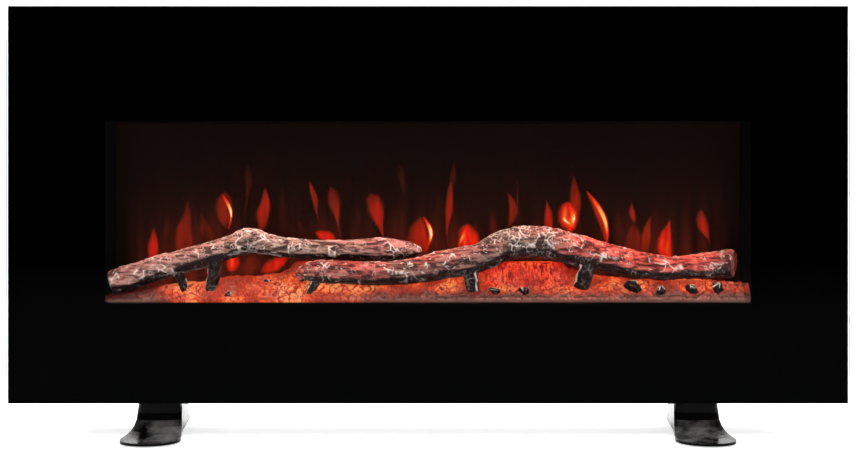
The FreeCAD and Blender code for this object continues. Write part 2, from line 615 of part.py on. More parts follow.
# Each log as stations along it: share of the firebox half-width, place between the
# glass (0) and the screen (1), height above the tray, and radius.
LEFT_LOG = [(-0.985, 0.42, 30.0, 16.5), (-0.87, 0.43, 45.5, 16.0), (-0.745, 0.45, 60.0, 15.5),
            (-0.62, 0.49, 76.0, 14.5), (-0.56, 0.52, 85.0, 15.5), (-0.50, 0.54, 79.0, 12.5),
            (-0.40, 0.56, 74.0, 12.5), (-0.28, 0.59, 72.0, 13.0), (-0.15, 0.62, 72.0, 15.5),
            (-0.09, 0.62, 72.0, 13.0), (-0.055, 0.62, 71.5, 10.5), (-0.03, 0.62, 71.0, 5.5)]
RIGHT_LOG = [(-0.40, 0.27, 37.0, 6.5), (-0.375, 0.28, 44.0, 12.0), (-0.33, 0.28, 44.5, 14.5),
             (-0.15, 0.28, 42.5, 15.0), (-0.03, 0.31, 46.0, 16.5), (0.04, 0.36, 52.5, 18.5),
             (0.16, 0.39, 62.5, 18.5), (0.24, 0.43, 78.0, 19.5), (0.35, 0.46, 83.0, 20.0),
             (0.45, 0.46, 74.0, 19.5), (0.60, 0.45, 58.0, 18.0), (0.73, 0.43, 49.0, 16.0),
             (0.79, 0.43, 50.0, 15.0), (0.90, 0.43, 53.5, 16.5), (0.95, 0.43, 55.0, 18.5),
             (0.978, 0.43, 54.5, 16.5)]
# Broken-off branches that stand on the embers: share, place, height and radius at the
# log, then the same at the foot.
LEFT_STUBS = [((-0.665, 0.44, 68.0, 10.0), (-0.68, 0.30, 14.0, 8.5)),
              ((-0.79, 0.42, 50.0, 8.0), (-0.755, 0.26, 16.0, 6.0))]
RIGHT_STUBS = [((-0.345, 0.28, 42.0, 7.0), (-0.37, 0.20, 16.0, 5.0)),
               ((0.12, 0.37, 57.0, 11.0), (0.14, 0.26, 20.0, 9.0)),
               ((0.50, 0.44, 62.0, 12.0), (0.475, 0.28, 24.0, 10.0))]
SECTIONS_PER_SPAN = 3


def ring(centre, along, radius):
    """A round section square to a direction, always started at its top."""
    up = (Z_AXIS - along * Z_AXIS.dot(along)).normalize()
    side = along.cross(up)
    spots = [centre + up * (radius * math.cos(math.radians(45 * i))) + side * (
        radius * math.sin(math.radians(45 * i))) for i in range(9)]
    return Part.Wire([Part.Arc(*spots[i:i + 3]).toShape() for i in (0, 2, 4, 6)])


def eased(values, i, t):
    """Catmull-Rom curve through four neighbouring values, at share t of the middle span."""
    last = len(values) - 1
    a, b, c, d = [values[min(max(i + k, 0), last)] for k in (-1, 0, 1, 2)]
    return b + 0.5 * t * (c - a + t * (2 * a - 5 * b + 4 * c - d + t * (3 * (b - c) + d - a)))


def station_point(station):
    share, place, height, _ = station
    return V(share * BOX_HW, depth_at(place), BOX_Z0 + height)


def log(stations, stubs):
    """A crooked log skinned over round sections, with its branch stubs."""
    columns = list(zip(*stations))
    steps_in = [(i, k / SECTIONS_PER_SPAN) for i in range(len(stations) - 1) for k in range(SECTIONS_PER_SPAN)]
    fine = [[eased(column, i, t) for column in columns] for i, t in steps_in] + [stations[-1]]
    centres = [station_point(station) for station in fine]
    last = len(centres) - 1
    rings = []
    for i, centre in enumerate(centres):
        along = (centres[min(i + 1, last)] - centres[max(i - 1, 0)]).normalize()
        rings.append(ring(centre, along, fine[i][3]))
    trunk = Part.makeLoft(rings, True, True)
    branches = []
    for top, foot_end in stubs:
        a, b = station_point(top), station_point(foot_end)
        branches.append(Part.makeCone(top[3], foot_end[3], (b - a).Length, a, b - a))
    return trunk.fuse(branches)


# share of the half-width, place between glass and screen, size and turn of each charred lump
CHUNKS = [(-0.62, 0.16, 9.0, 35.0), (-0.50, 0.42, 9.0, 10.0), (0.205, 0.16, 8.0, 30.0),
          (0.30, 0.16, 8.0, 12.0), (0.635, 0.22, 15.0, -5.0), (0.72, 0.17, 9.0, 25.0),
          (0.815, 0.20, 13.0, -30.0), (0.90, 0.20, 13.0, 12.0)]


def charred_chunks():
    """Six-sided lumps of charred wood set into the ember bed."""
    lumps = []
    for share, place, size, turn in CHUNKS:
        y = depth_at(place)
        centre = V(share * BOX_HW, y, BOX_Z0 + bed_height(y) - 0.35 * size)
        outlines = []
        for r, z in ((size * 0.7, 0), (size * 0.45, size)):
            angles = [math.radians(60 * i + turn) for i in range(7)]
            spots = [centre + V(r * math.cos(a), 0.7 * r * math.sin(a), z) for a in angles]
            outlines.append(Part.makePolygon(spots))
        lumps.append(Part.makeLoft(outlines, True, True))
    return lumps


# ---------------------------------------------------------------- lights
def ember_rail_y():
    return (IN_Y0 + SCREEN_Y1) / 2


def led_rail(y, height):
    """Upturned channel that carries one light board."""
    half_x, half = light_half(), RAIL_W / 2
    outer = box((-half_x, half_x), (y - half, y + half), (IN_Z0, IN_Z0 + height))
    inner_ys, inner_zs = (y - half + SHEET, y + half - SHEET), (IN_Z0 - 1, IN_Z0 + height - SHEET)
    inner = box((-half_x - 1, half_x + 1), inner_ys, inner_zs)
    return outer.cut(inner)


def light_half():
    return BOX_HW - 24.0


def led_board(y, height):
    half = BOARD_W / 2
    z = IN_Z0 + height
    return box((-light_half() + 4, light_half() - 4), (y - half, y + half), (z, z + BOARD_T))


def leds(y, height):
    z = IN_Z0 + height + BOARD_T
    half = LED_SIZE / 2
    reach = light_half() - 12
    return group([box((x - half, x + half), (y - half, y + half), (z, z + LED_H))
                  for x in steps(-reach, reach, LED_PITCH)])


# ---------------------------------------------------------------- flicker spindle
def spindle_rods():
    """The foil rod and the motor's own shaft, meeting inside the coupling."""
    start, meet = SPINDLE_X0 - BRACKET_T - 4, SPINDLE_X1 - COUPLING_L / 2
    end = SPINDLE_X1 + 4 + BRACKET_T + SPINDLE_MOTOR_L / 2
    ends = ((start, meet), (meet, end))
    return group([rod(SPINDLE_R, b - a, V(a, SPINDLE_Y, SPINDLE_Z), X_AXIS) for a, b in ends])


def flicker_foils():
    """Tilted reflector foils threaded on the rod, each turned on from the last."""
    foils = []
    axis_point = V(0, SPINDLE_Y, SPINDLE_Z)
    for i, x in enumerate(steps(SPINDLE_X0 + 24, SPINDLE_X1 - COUPLING_L - 24, FOIL_PITCH)):
        foil = box((x - FOIL_T / 2, x + FOIL_T / 2), (SPINDLE_Y - FOIL_W / 2, SPINDLE_Y + FOIL_W / 2),
                   (SPINDLE_Z - FOIL_R, SPINDLE_Z + FOIL_R))
        foil.rotate(V(x, SPINDLE_Y, SPINDLE_Z), Z_AXIS, FOIL_TILT)
        foil.rotate(axis_point, X_AXIS, FOIL_TWIST * i)
        foils.append(foil.cut(rod(SPINDLE_R, 4 * FOIL_W, V(x - 2 * FOIL_W, SPINDLE_Y, SPINDLE_Z), X_AXIS)))
    return group(foils)


def spindle_coupling():
    """Rubber sleeve that joins the rod to the motor shaft."""
    at = V(SPINDLE_X1 - COUPLING_L, SPINDLE_Y, SPINDLE_Z)
    return rod(COUPLING_R, COUPLING_L, at, X_AXIS).cut(rod(SPINDLE_R, COUPLING_L + 2, at - X_AXIS, X_AXIS))


def standing_bracket(x, foot_side):
    """Upright plate with a foot on the casing floor, square to the spindle."""
    half = SPINDLE_MOTOR_R * BRACKET_SHARE
    upright = box((x, x + BRACKET_T), (SPINDLE_Y - half, SPINDLE_Y + half), (IN_Z0, SPINDLE_Z + half))
    foot_x = (x, x + BRACKET_FOOT) if foot_side > 0 else (x + BRACKET_T - BRACKET_FOOT, x + BRACKET_T)
    foot = box(foot_x, (SPINDLE_Y - half, SPINDLE_Y + half), (IN_Z0, IN_Z0 + BRACKET_T))
    return fused([upright, foot])


def spindle_brackets():
    left = standing_bracket(SPINDLE_X0 - BRACKET_T, -1)
    left = left.cut(rod(BUSH_R - 2, 3 * BRACKET_T, V(SPINDLE_X0 - 2 * BRACKET_T, SPINDLE_Y, SPINDLE_Z), X_AXIS))
    right = standing_bracket(SPINDLE_X1 + 4, 1)
    shaft_from = V(SPINDLE_X1 + 4 - BRACKET_T, SPINDLE_Y, SPINDLE_Z)
    right = right.cut(rod(SPINDLE_R + 1, 3 * BRACKET_T, shaft_from, X_AXIS))
    return group([left, right])


def spindle_bush():
    """Flanged nylon bush in the left bracket."""
    x = SPINDLE_X0 - BRACKET_T
    neck = rod(BUSH_R - 2, BRACKET_T + 3, V(x - 2, SPINDLE_Y, SPINDLE_Z), X_AXIS)
    flange = rod(BUSH_R, 2, V(x - 2, SPINDLE_Y, SPINDLE_Z), X_AXIS)
    return fused([neck, flange]).cut(rod(SPINDLE_R + SHAFT_GAP, 20, V(x - 10, SPINDLE_Y, SPINDLE_Z), X_AXIS))


def spindle_motor():
    """Geared synchronous motor, a round can on the right bracket with two ears."""
    x = SPINDLE_X1 + 4 + BRACKET_T
    can = rod(SPINDLE_MOTOR_R, SPINDLE_MOTOR_L, V(x, SPINDLE_Y, SPINDLE_Z), X_AXIS)
    ear_half = SPINDLE_MOTOR_R + 5
    ears = box((x, x + 1), (SPINDLE_Y - ear_half, SPINDLE_Y + ear_half), (SPINDLE_Z - 5, SPINDLE_Z + 5))
    shaft_room = rod(SPINDLE_R + 0.3, SPINDLE_MOTOR_L / 2 + 1.5, V(x - 1, SPINDLE_Y, SPINDLE_Z), X_AXIS)
    return fused([can, ears]).cut(shaft_room)


# ---------------------------------------------------------------- blower and heater
def blower_impeller():
    """Cross-flow wheel: three pierced discs joined by forward-curved blades."""
    at = V(-IMPELLER_L / 2, BLOWER_Y, BLOWER_Z)
    discs = []
    for share in (0.0, 0.5, 1.0):
        x = at.x + share * (IMPELLER_L - 2)
        disc = rod(IMPELLER_R, 2, V(x, BLOWER_Y, BLOWER_Z), X_AXIS)
        discs.append(disc.cut(rod(BLOWER_SHAFT_R, 4, V(x - 1, BLOWER_Y, BLOWER_Z), X_AXIS)))
    blades = []
    for i in range(IMPELLER_BLADES):
        tip_z = BLOWER_Z + IMPELLER_R - 0.5
        blade = box((at.x, at.x + IMPELLER_L), (BLOWER_Y - BLADE_T / 2, BLOWER_Y + BLADE_T / 2),
                    (tip_z - BLADE_CHORD, tip_z))
        blade.rotate(V(0, BLOWER_Y, tip_z), X_AXIS, 28)
        blade.rotate(V(0, BLOWER_Y, BLOWER_Z), X_AXIS, 360.0 * i / IMPELLER_BLADES)
        blades.append(blade)
    return discs[0].fuse(discs[1:] + blades)


MOTOR_X0 = BLOWER_HW + SHEET + MOTOR_CAP_GAP + 4.0
MOTOR_X1 = MOTOR_X0 + STATOR_L
BLOWER_SHAFT_X = (-BLOWER_HW - 6.0, MOTOR_X1 + MOTOR_CAP_GAP + MOTOR_CAP_T + 3.0)


def blower_shaft():
    return rod(BLOWER_SHAFT_R, BLOWER_SHAFT_X[1] - BLOWER_SHAFT_X[0],
               V(BLOWER_SHAFT_X[0], BLOWER_Y, BLOWER_Z), X_AXIS)


def blower_motor_rotor():
    at = V(MOTOR_X0, BLOWER_Y, BLOWER_Z)
    return rod(ROTOR_R, STATOR_L, at, X_AXIS).cut(rod(BLOWER_SHAFT_R, STATOR_L + 2, at - X_AXIS, X_AXIS))


def blower_motor_stator():
    half = STATOR_HALF
    stack = box((MOTOR_X0, MOTOR_X1), (BLOWER_Y - half, BLOWER_Y + half), (BLOWER_Z - half, BLOWER_Z + half))
    return stack.cut(rod(ROTOR_R + ROTOR_GAP, STATOR_L + 2, V(MOTOR_X0 - 1, BLOWER_Y, BLOWER_Z), X_AXIS))


def blower_motor_coil():
    """Winding on the far leg of the stator, standing out at both faces."""
    out = 5.0
    zs = (BLOWER_Z - STATOR_HALF - 1.5, BLOWER_Z - STATOR_HALF + 9)
    ys = (BLOWER_Y - 16, BLOWER_Y + 16)
    sleeve = box((MOTOR_X0 - out, MOTOR_X1 + out), ys, zs)
    leg = box((MOTOR_X0, MOTOR_X1), (ys[0] - 1, ys[1] + 1), (BLOWER_Z - STATOR_HALF, zs[1] + 1))
    return sleeve.cut(leg)


def blower_motor_caps():
    """Bearing bridges at both ends of the motor."""
    caps = []
    for x, reach in ((MOTOR_X0 - MOTOR_CAP_GAP - MOTOR_CAP_T, 1), (MOTOR_X1 + MOTOR_CAP_GAP, -1)):
        bar_ys = (BLOWER_Y - STATOR_HALF, BLOWER_Y + STATOR_HALF)
        bar = box((x, x + MOTOR_CAP_T), bar_ys, (BLOWER_Z - 7, BLOWER_Z + 7))
        post_x = (x + MOTOR_CAP_T, x + MOTOR_CAP_T + MOTOR_CAP_GAP) if reach > 0 else (x - MOTOR_CAP_GAP, x)
        posts = [box(post_x, (y - 3, y + 3), (BLOWER_Z - 4, BLOWER_Z + 4))
                 for y in (BLOWER_Y - STATOR_HALF + 4, BLOWER_Y + STATOR_HALF - 4)]
        bore = rod(BLOWER_SHAFT_R + SHAFT_GAP, MOTOR_CAP_T + 2, V(x - 1, BLOWER_Y, BLOWER_Z), X_AXIS)
        caps.append(fused([bar] + posts).cut(bore))
    return group(caps)


def blower_housing():
    """Scroll round the front and underside of the wheel, the tongue behind the outlet, and two ends."""
    xs = (-BLOWER_HW, BLOWER_HW)
    at = V(xs[0], BLOWER_Y, BLOWER_Z)
    ring = rod(SCROLL_R + SCROLL_T, xs[1] - xs[0], at, X_AXIS).cut(
        rod(SCROLL_R, xs[1] - xs[0] + 2, at - X_AXIS, X_AXIS))
    quarter = box(xs, (BLOWER_Y - SCROLL_R - SCROLL_T, BLOWER_Y), (BLOWER_Z - SCROLL_R - SCROLL_T, BLOWER_Z))
    wall = box(xs, (DUCT_Y0 - SCROLL_T, DUCT_Y0), (BLOWER_Z, IN_Z1))
    tongue = box(xs, (DUCT_Y1, DUCT_Y1 + SCROLL_T), (BLOWER_Z + SCROLL_R - 2, IN_Z1))
    plates = []
    ys = (BLOWER_Y - SCROLL_R - SCROLL_T, BLOWER_Y + SCROLL_R + SCROLL_T)
    zs = (BLOWER_Z - SCROLL_R - SCROLL_T, IN_Z1)
    for x, hole_r in ((-BLOWER_HW - SHEET, BUSH_R), (BLOWER_HW, BLOWER_SHAFT_R + 2)):
        plate = box((x, x + SHEET), ys, zs)
        plates.append(plate.cut(rod(hole_r, 3 * SHEET, V(x - SHEET, BLOWER_Y, BLOWER_Z), X_AXIS)))
    return group([fused([ring.common(quarter), wall]), tongue] + plates)


def blower_bearing():
    x = -BLOWER_HW - SHEET
    neck = rod(BUSH_R, SHEET, V(x, BLOWER_Y, BLOWER_Z), X_AXIS)
    collar = rod(BUSH_R + 3, 3, V(x - 3, BLOWER_Y, BLOWER_Z), X_AXIS)
    return fused([neck, collar]).cut(rod(BLOWER_SHAFT_R + SHAFT_GAP, 20, V(x - 10, BLOWER_Y, BLOWER_Z), X_AXIS))


HEATER_Z0 = BLOWER_Z + SCROLL_R + HEATER_GAP
HEATER_X = BLOWER_HW - 8.0


def heater_element():
    """Two flat heating bars with fins across them."""
    zs = (HEATER_Z0, HEATER_Z0 + HEATER_H)
    bar_zs = (HEATER_Z0 + 0.35 * HEATER_H, HEATER_Z0 + 0.65 * HEATER_H)
    span = DUCT_Y1 - DUCT_Y0
    bars = [box((-HEATER_X, HEATER_X), (DUCT_Y0 + share * span - 2, DUCT_Y0 + share * span + 2), bar_zs)
            for share in (0.3, 0.7)]
    fins = [box((x - HEATER_FIN_T / 2, x + HEATER_FIN_T / 2), (DUCT_Y0 + 3, DUCT_Y1 - 3), zs)
            for x in steps(-HEATER_X + 6, HEATER_X - 6, HEATER_FIN_PITCH)]
    return bars[0].fuse(bars[1:] + fins)


def heater_holders():
    """Ceramic end blocks that carry the heating bars."""
    zs = (HEATER_Z0, HEATER_Z0 + HEATER_H)
    block = box((HEATER_X, BLOWER_HW), (DUCT_Y0 + 3, DUCT_Y1 - 3), zs)
    return group(both_sides(block))


def outlet_grille():
    """Framed louvres over the hot-air outlet in the top of the casing."""
    xs = (-BLOWER_HW - GRILLE_RIM, BLOWER_HW + GRILLE_RIM)
    ys = (DUCT_Y0 - GRILLE_RIM, DUCT_Y1 + GRILLE_RIM)
    rim = box(xs, ys, (CASE_Z1, CASE_Z1 + GRILLE_T))
    inner_x, inner_y = (-BLOWER_HW, BLOWER_HW), (DUCT_Y0 + 1, DUCT_Y1 - 1)
    rim = rim.cut(box(inner_x, inner_y, (CASE_Z1 - 1, CASE_Z1 + GRILLE_T + 1)))
    depth = inner_y[1] - inner_y[0]
    bars = []
    for i in range(LOUVRES):
        y = inner_y[0] + depth * (i + 0.5) / LOUVRES
        bar = box(inner_x, (y - LOUVRE_T / 2, y + LOUVRE_T / 2), (CASE_Z1 - 3, CASE_Z1 + GRILLE_T + 3))
        bar.rotate(V(0, y, CASE_Z1 + GRILLE_T / 2), X_AXIS, 35)
        bars.append(bar.common(box(inner_x, (y - 5, y + 5), (CASE_Z1 - SHEET, CASE_Z1 + GRILLE_T))))
    ribs = [box((x - 1, x + 1), inner_y, (CASE_Z1, CASE_Z1 + GRILLE_T))
            for x in steps(inner_x[0] + 30, inner_x[1] - 30, 60.0)]
    return rim.fuse(bars + ribs)


# ---------------------------------------------------------------- controls
def push_button(z):
    """Cap, retaining flange and plunger of one push button."""
    half_w, half_h = BUTTON_W / 2, BUTTON_H / 2
    cap_xs, cap_ys = (CAP_X0, CASE_HW + BUTTON_PROUD), (BUTTON_Y - half_w, BUTTON_Y + half_w)
    cap = box(cap_xs, cap_ys, (z - half_h, z + half_h))
    outer = [e for e in cap.Edges if e.BoundBox.XMin > CASE_HW]
    cap = cap.makeFillet(0.8, outer)
    more = BUTTON_FLANGE
    flange = box((CAP_X0 - BUTTON_FLANGE_T, CAP_X0), (BUTTON_Y - half_w - more, BUTTON_Y + half_w + more),
                 (z - half_h - more, z + half_h + more))
    plunger = rod(PLUNGER_R, PLUNGER_L, V(PLUNGER_X0, BUTTON_Y, z), X_AXIS)
    return cap.fuse([flange, plunger])


def housing_zs():
    return (BUTTON_ZS[-1] - 14, BUTTON_ZS[0] + 14)


def button_board():
    """Board behind the buttons with one small push switch for each."""
    half = HOUSING_HALF_W - HOUSING_WALL
    zs = (housing_zs()[0] + HOUSING_WALL, housing_zs()[1] - HOUSING_WALL)
    board = box((BOARD_X1 - BOARD_T, BOARD_X1), (BUTTON_Y - half, BUTTON_Y + half), zs)
    half = TACT_SIZE / 2
    switches = []
    for z in BUTTON_ZS:
        body = box((BOARD_X1, BOARD_X1 + TACT_BODY_H), (BUTTON_Y - half, BUTTON_Y + half), (z - half, z + half))
        stem = rod(TACT_STEM_R, TACT_STEM_H, V(BOARD_X1 + TACT_BODY_H, BUTTON_Y, z), X_AXIS)
        switches.append(body.fuse(stem))
    return group([board] + switches)


def control_housing():
    """Moulded tray behind the buttons, open towards the casing side."""
    z0, z1 = housing_zs()
    back = BOARD_X1 - BOARD_T - HOUSING_WALL
    outer = box((back, IN_HW), (BUTTON_Y - HOUSING_HALF_W, BUTTON_Y + HOUSING_HALF_W), (z0, z1))
    half = HOUSING_HALF_W - HOUSING_WALL
    inner_zs = (z0 + HOUSING_WALL, z1 - HOUSING_WALL)
    inner = box((back + HOUSING_WALL, IN_HW + 1), (BUTTON_Y - half, BUTTON_Y + half), inner_zs)
    return outer.cut(inner)


ROCKER_PIVOT_X = CASE_HW + SWITCH_BEZEL_T - 2.5


def main_switch_body():
    """Snap-in rocker switch housing with a pocket and two pivot holes."""
    half_w, half_h = SWITCH_BODY_W / 2, SWITCH_BODY_H / 2
    body = box((CASE_HW - SWITCH_BODY_L, CASE_HW), (SWITCH_Y - half_w, SWITCH_Y + half_w),
               (SWITCH_Z - half_h, SWITCH_Z + half_h))
    bez_w, bez_h = SWITCH_BEZEL_W / 2, SWITCH_BEZEL_H / 2
    bezel = box((CASE_HW, CASE_HW + SWITCH_BEZEL_T), (SWITCH_Y - bez_w, SWITCH_Y + bez_w),
                (SWITCH_Z - bez_h, SWITCH_Z + bez_h))
    face_x = CASE_HW + SWITCH_BEZEL_T
    cav_w, cav_h = SWITCH_CAVITY_W / 2, SWITCH_CAVITY_H / 2
    cavity = box((face_x - SWITCH_CAVITY_D, face_x + 1), (SWITCH_Y - cav_w, SWITCH_Y + cav_w),
                 (SWITCH_Z - cav_h, SWITCH_Z + cav_h))
    reach = cav_w + ROCKER_PIN_REACH + ROCKER_PIN_GAP
    holes = rod(ROCKER_PIN_R + ROCKER_PIN_GAP, 2 * reach, V(ROCKER_PIVOT_X, SWITCH_Y - reach, SWITCH_Z), Y_AXIS)
    back = CASE_HW - SWITCH_BODY_L
    blades = [box((back - 7, back), (SWITCH_Y - 2.4, SWITCH_Y + 2.4), (z, z + 0.8))
              for z in (SWITCH_Z - 4, SWITCH_Z + 3)]
    return fused([body, bezel]).cut([cavity, holes]).fuse(blades)


def main_switch_rocker():
    """V-shaped rocker on two moulded pins, resting tilted to its on side."""
    profile = [(4.0, 6.6), (2.4, 0.0), (4.0, -6.6), (0.5, -6.6), (-3.2, -2.5), (-3.2, 2.5), (0.5, 6.6)]
    points = [V(ROCKER_PIVOT_X + x, SWITCH_Y - ROCKER_HALF_W, SWITCH_Z + z) for x, z in profile + profile[:1]]
    key = Part.Face(Part.makePolygon(points)).extrude(V(0, 2 * ROCKER_HALF_W, 0))
    reach = SWITCH_CAVITY_W / 2 + ROCKER_PIN_REACH
    pin = rod(ROCKER_PIN_R, 2 * reach, V(ROCKER_PIVOT_X, SWITCH_Y - reach, SWITCH_Z), Y_AXIS)
    key = key.fuse(pin)
    key.rotate(V(ROCKER_PIVOT_X, SWITCH_Y, SWITCH_Z), Y_AXIS, ROCKER_TILT)
    return key


# ---------------------------------------------------------------- electronics
BOARD_SIDE_X = -IN_HW + 10.0
BOARD_YS = (IN_Y1 - 100.4, IN_Y1 - 20.4)
BOARD_ZS = (CASE_Z0 + 130.0, CASE_Z0 + 250.0)


def board_standoffs():
    places = [(y, z) for y in (BOARD_YS[0] + 6, BOARD_YS[1] - 6) for z in (BOARD_ZS[0] + 6, BOARD_ZS[1] - 6)]
    return group([rod(3.0, BOARD_SIDE_X + IN_HW, V(-IN_HW, y, z), X_AXIS) for y, z in places])


def control_board():
    """Board with its relays, transformer, capacitors, chip and plug row."""
    board = box((BOARD_SIDE_X, BOARD_SIDE_X + BOARD_T), BOARD_YS, BOARD_ZS)
    x = BOARD_SIDE_X + BOARD_T
    y, z = BOARD_YS[0], BOARD_ZS[0]
    relays = [box((x, x + 15), (y + 12, y + 28), (z + 14 + 26 * i, z + 34 + 26 * i)) for i in range(2)]
    transformer = box((x, x + 22), (y + 40, y + 68), (z + 16, z + 48))
    cans = [rod(6.0, 18.0, V(x, y + 22 + 18 * i, z + 86), X_AXIS) for i in range(2)]
    plugs = box((x, x + 9), (y + 18, y + 62), (z + 103, z + 112))
    chip = box((x, x + 2.4), (y + 44, y + 58), (z + 62, z + 72))
    return group([board] + relays + [transformer] + cans + [plugs, chip])


def led_driver_faces():
    """Right-hand face (x) and front face (y) of the driver."""
    return (-BOX_HW - SHEET - 14, MASK_Y1 + 9)


def led_driver():
    """Sealed supply for the light boards, on the casing floor."""
    x, front_y = led_driver_faces()
    case = box((x - 52, x), (front_y, 2 * CHAMBER_MID_Y - front_y), (IN_Z0, IN_Z0 + 24))
    upright = [e for e in case.Edges if e.BoundBox.ZLength > 20]
    return case.makeFillet(4.0, upright)


def internal_leads(ends_on):
    """Leads from the driver to the spindle motor and ember lights, and from the board to the
    blower, trimmed off flush with the pieces that they end on."""
    driver_x, driver_y = led_driver_faces()
    low, run_y = IN_Z0 + 6, (CHAMBER_MID_Y + SPINDLE_MOTOR_R * BRACKET_SHARE + IN_Y1 - LUG) / 2
    motor_x = SPINDLE_X1 + 4 + BRACKET_T + SPINDLE_MOTOR_L / 2
    spindle = [(driver_x, run_y, low), (-BOX_HW * 0.45, run_y - 0.4, low + 1), (BOX_HW * 0.3, run_y + 0.3, low),
               (motor_x - 8, run_y, low + 2), (motor_x, run_y - 2, low + 24),
               (motor_x - 1, SPINDLE_Y + 14, SPINDLE_Z - SPINDLE_MOTOR_R + 2)]
    ember_end = -light_half() + 8
    ember_z = IN_Z0 + EMBER_RAIL_H + BOARD_T
    start_x = driver_x - 24
    embers = [(start_x, driver_y, low + 6), (start_x + 1, driver_y - 24, low + 8),
              (start_x + 14, ember_rail_y() + 3, low + 26), (ember_end - 26, ember_rail_y(), ember_z + 8),
              (ember_end - 6, ember_rail_y() + 1, ember_z + 14), (ember_end, ember_rail_y(), ember_z)]
    back_y, across_z = IN_Y1 - 9, BLOWER_Z - SCROLL_R - SCROLL_T - 11
    plug_x, plug_z = BOARD_SIDE_X + BOARD_T + 5, BOARD_ZS[0] + 112
    coil_z = BLOWER_Z - STATOR_HALF - 1.5
    blower = [(plug_x, BOARD_YS[0] + 48, plug_z), (plug_x + 1, BOARD_YS[0] + 54, plug_z + 34),
              (plug_x + 14, back_y - 14, plug_z + 66), (plug_x + 50, back_y, across_z - 4),
              (-BLOWER_HW, back_y + 1, across_z), (BLOWER_HW * 0.75, back_y, across_z - 1),
              (MOTOR_X0 - 3, back_y - 4, across_z), (MOTOR_X0 + 10, BLOWER_Y + 14, across_z + 4),
              (MOTOR_X0 + 10, BLOWER_Y + 8, coil_z)]
    return group([tube(points, LEAD_R).cut(ends_on) for points in (spindle, embers, blower)])


# ---------------------------------------------------------------- feet
def foot_sections(inset, drop):
    """Outlines of a foot from neck to rim. The neck's front and back stay upright and then sweep
    out to the rim along y = 1 - (1 - s^4)^(1/2); the sides spread evenly all the way down."""
    levels = [(CASE_Z0, 0.0), (FLARE_TOP, 0.0)]
    levels += [(FLARE_TOP - s * (FLARE_TOP - FOOT_RIM_H), s) for s in (0.3, 0.55, 0.75, 0.86, 0.93, 0.97, 1.0)]
    levels.append((PAD_PROUD, 1.0))
    outlines = []
    for z, s in levels:
        sweep = 1 - math.sqrt(max(0.0, 1 - s ** 4))
        half_w = NECK_HALF_W + (SOLE_HALF_W - NECK_HALF_W) * s
        y0 = NECK_Y0 + (-FOOT_L / 2 - NECK_Y0) * sweep
        y1 = NECK_Y1 + (FOOT_L / 2 - NECK_Y1) * sweep
        radius = NECK_CORNER_R + (half_w - 1 - NECK_CORNER_R) * s
        outlines.append((half_w - inset, y0 + inset, y1 - inset, max(radius - inset, 2.0), z - drop))
    return outlines


def lofted(outlines):
    return Part.makeLoft([rounded_outline(*o) for o in outlines], True, True)


def narrowing(inset):
    """Upright prism that narrows a foot from the widest part of its sole to its heel."""
    half_l, far = FOOT_L / 2, SOLE_HALF_W + 20
    flank = [(far, -half_l - 10), (far, SOLE_WIDEST - half_l), (SOLE_HALF_W - inset, SOLE_WIDEST - half_l),
             (WAIST_HALF_W - inset, 0), (HEEL_HALF_W - inset, half_l), (HEEL_HALF_W - inset, half_l + 10)]
    spots = [V(x, y, -10) for x, y in flank] + [V(-x, y, -10) for x, y in reversed(flank)]
    return Part.Face(Part.makePolygon(spots + spots[:1])).extrude(Z_AXIS * (CASE_Z0 + 20))


def foot():
    """One hollow moulded foot, open underneath, with bosses for its two pads."""
    outer = lofted(foot_sections(0.0, 0.0)).common(narrowing(0.0))
    inner = lofted(foot_sections(FOOT_WALL, FOOT_TOP_PLATE)[:-1])
    inner = inner.fuse(lofted([o[:4] + (z,) for o, z in
                               ((foot_sections(FOOT_WALL, FOOT_TOP_PLATE)[-2], FOOT_RIM_H - FOOT_TOP_PLATE),
                                (foot_sections(FOOT_WALL, 0)[-1], PAD_PROUD - 4))]))
    shell = outer.cut(inner.common(narrowing(FOOT_WALL)))
    bosses = [rod(PAD_BOSS_R, CASE_Z0, V(0, y, PAD_PROUD), Z_AXIS).common(outer) for y in pad_ys()]
    body = shell.fuse(bosses)
    recesses = [rod(PAD_R, PAD_T, V(0, y, 0), Z_AXIS) for y in pad_ys()]
    holes = [rod(FOOT_SCREW_R + HOLE_GAP, FOOT_TOP_PLATE + 4, V(x, y, CASE_Z0 - FOOT_TOP_PLATE - 2), Z_AXIS)
             for x, y in foot_screw_places()]
    return body.cut(recesses + holes)


def pad_ys():
    return (-FOOT_L / 2 + PAD_END_GAP, FOOT_L / 2 - PAD_END_GAP)


def placed_foot(side):
    shape = foot()
    shape.translate(V(side * FOOT_X, 0, 0))
    return shape


def foot_pads():
    return group([rod(PAD_R, PAD_T, V(side * FOOT_X, y, 0), Z_AXIS) for side in (-1, 1) for y in pad_ys()])


def foot_screws():
    screws = []
    for side in (-1, 1):
        for x, y in foot_screw_places():
            at = V(side * FOOT_X + x, y, CASE_Z0 - FOOT_TOP_PLATE)
            head = rod(FOOT_SCREW_HEAD_R, FOOT_SCREW_HEAD_H, at - Z_AXIS * FOOT_SCREW_HEAD_H, Z_AXIS)
            screws.append(head.fuse(rod(FOOT_SCREW_R, FOOT_SCREW_L, at, Z_AXIS)))
    return group(screws)


def foot_nut_plates():
    half_x = FOOT_SCREW_DX + 10
    plates = []
    zs = (IN_Z0, IN_Z0 + NUT_PLATE_T)
    for side in (-1, 1):
        for y in foot_screw_rows():
            plate = box((side * FOOT_X - half_x, side * FOOT_X + half_x), (y - 7, y + 7), zs)
            for dx in (-FOOT_SCREW_DX, FOOT_SCREW_DX):
                at = V(side * FOOT_X + dx, y, IN_Z0 - 1)
                plate = plate.cut(rod(FOOT_SCREW_R, NUT_PLATE_T + 2, at, Z_AXIS))
            plates.append(plate)
    return group(plates)


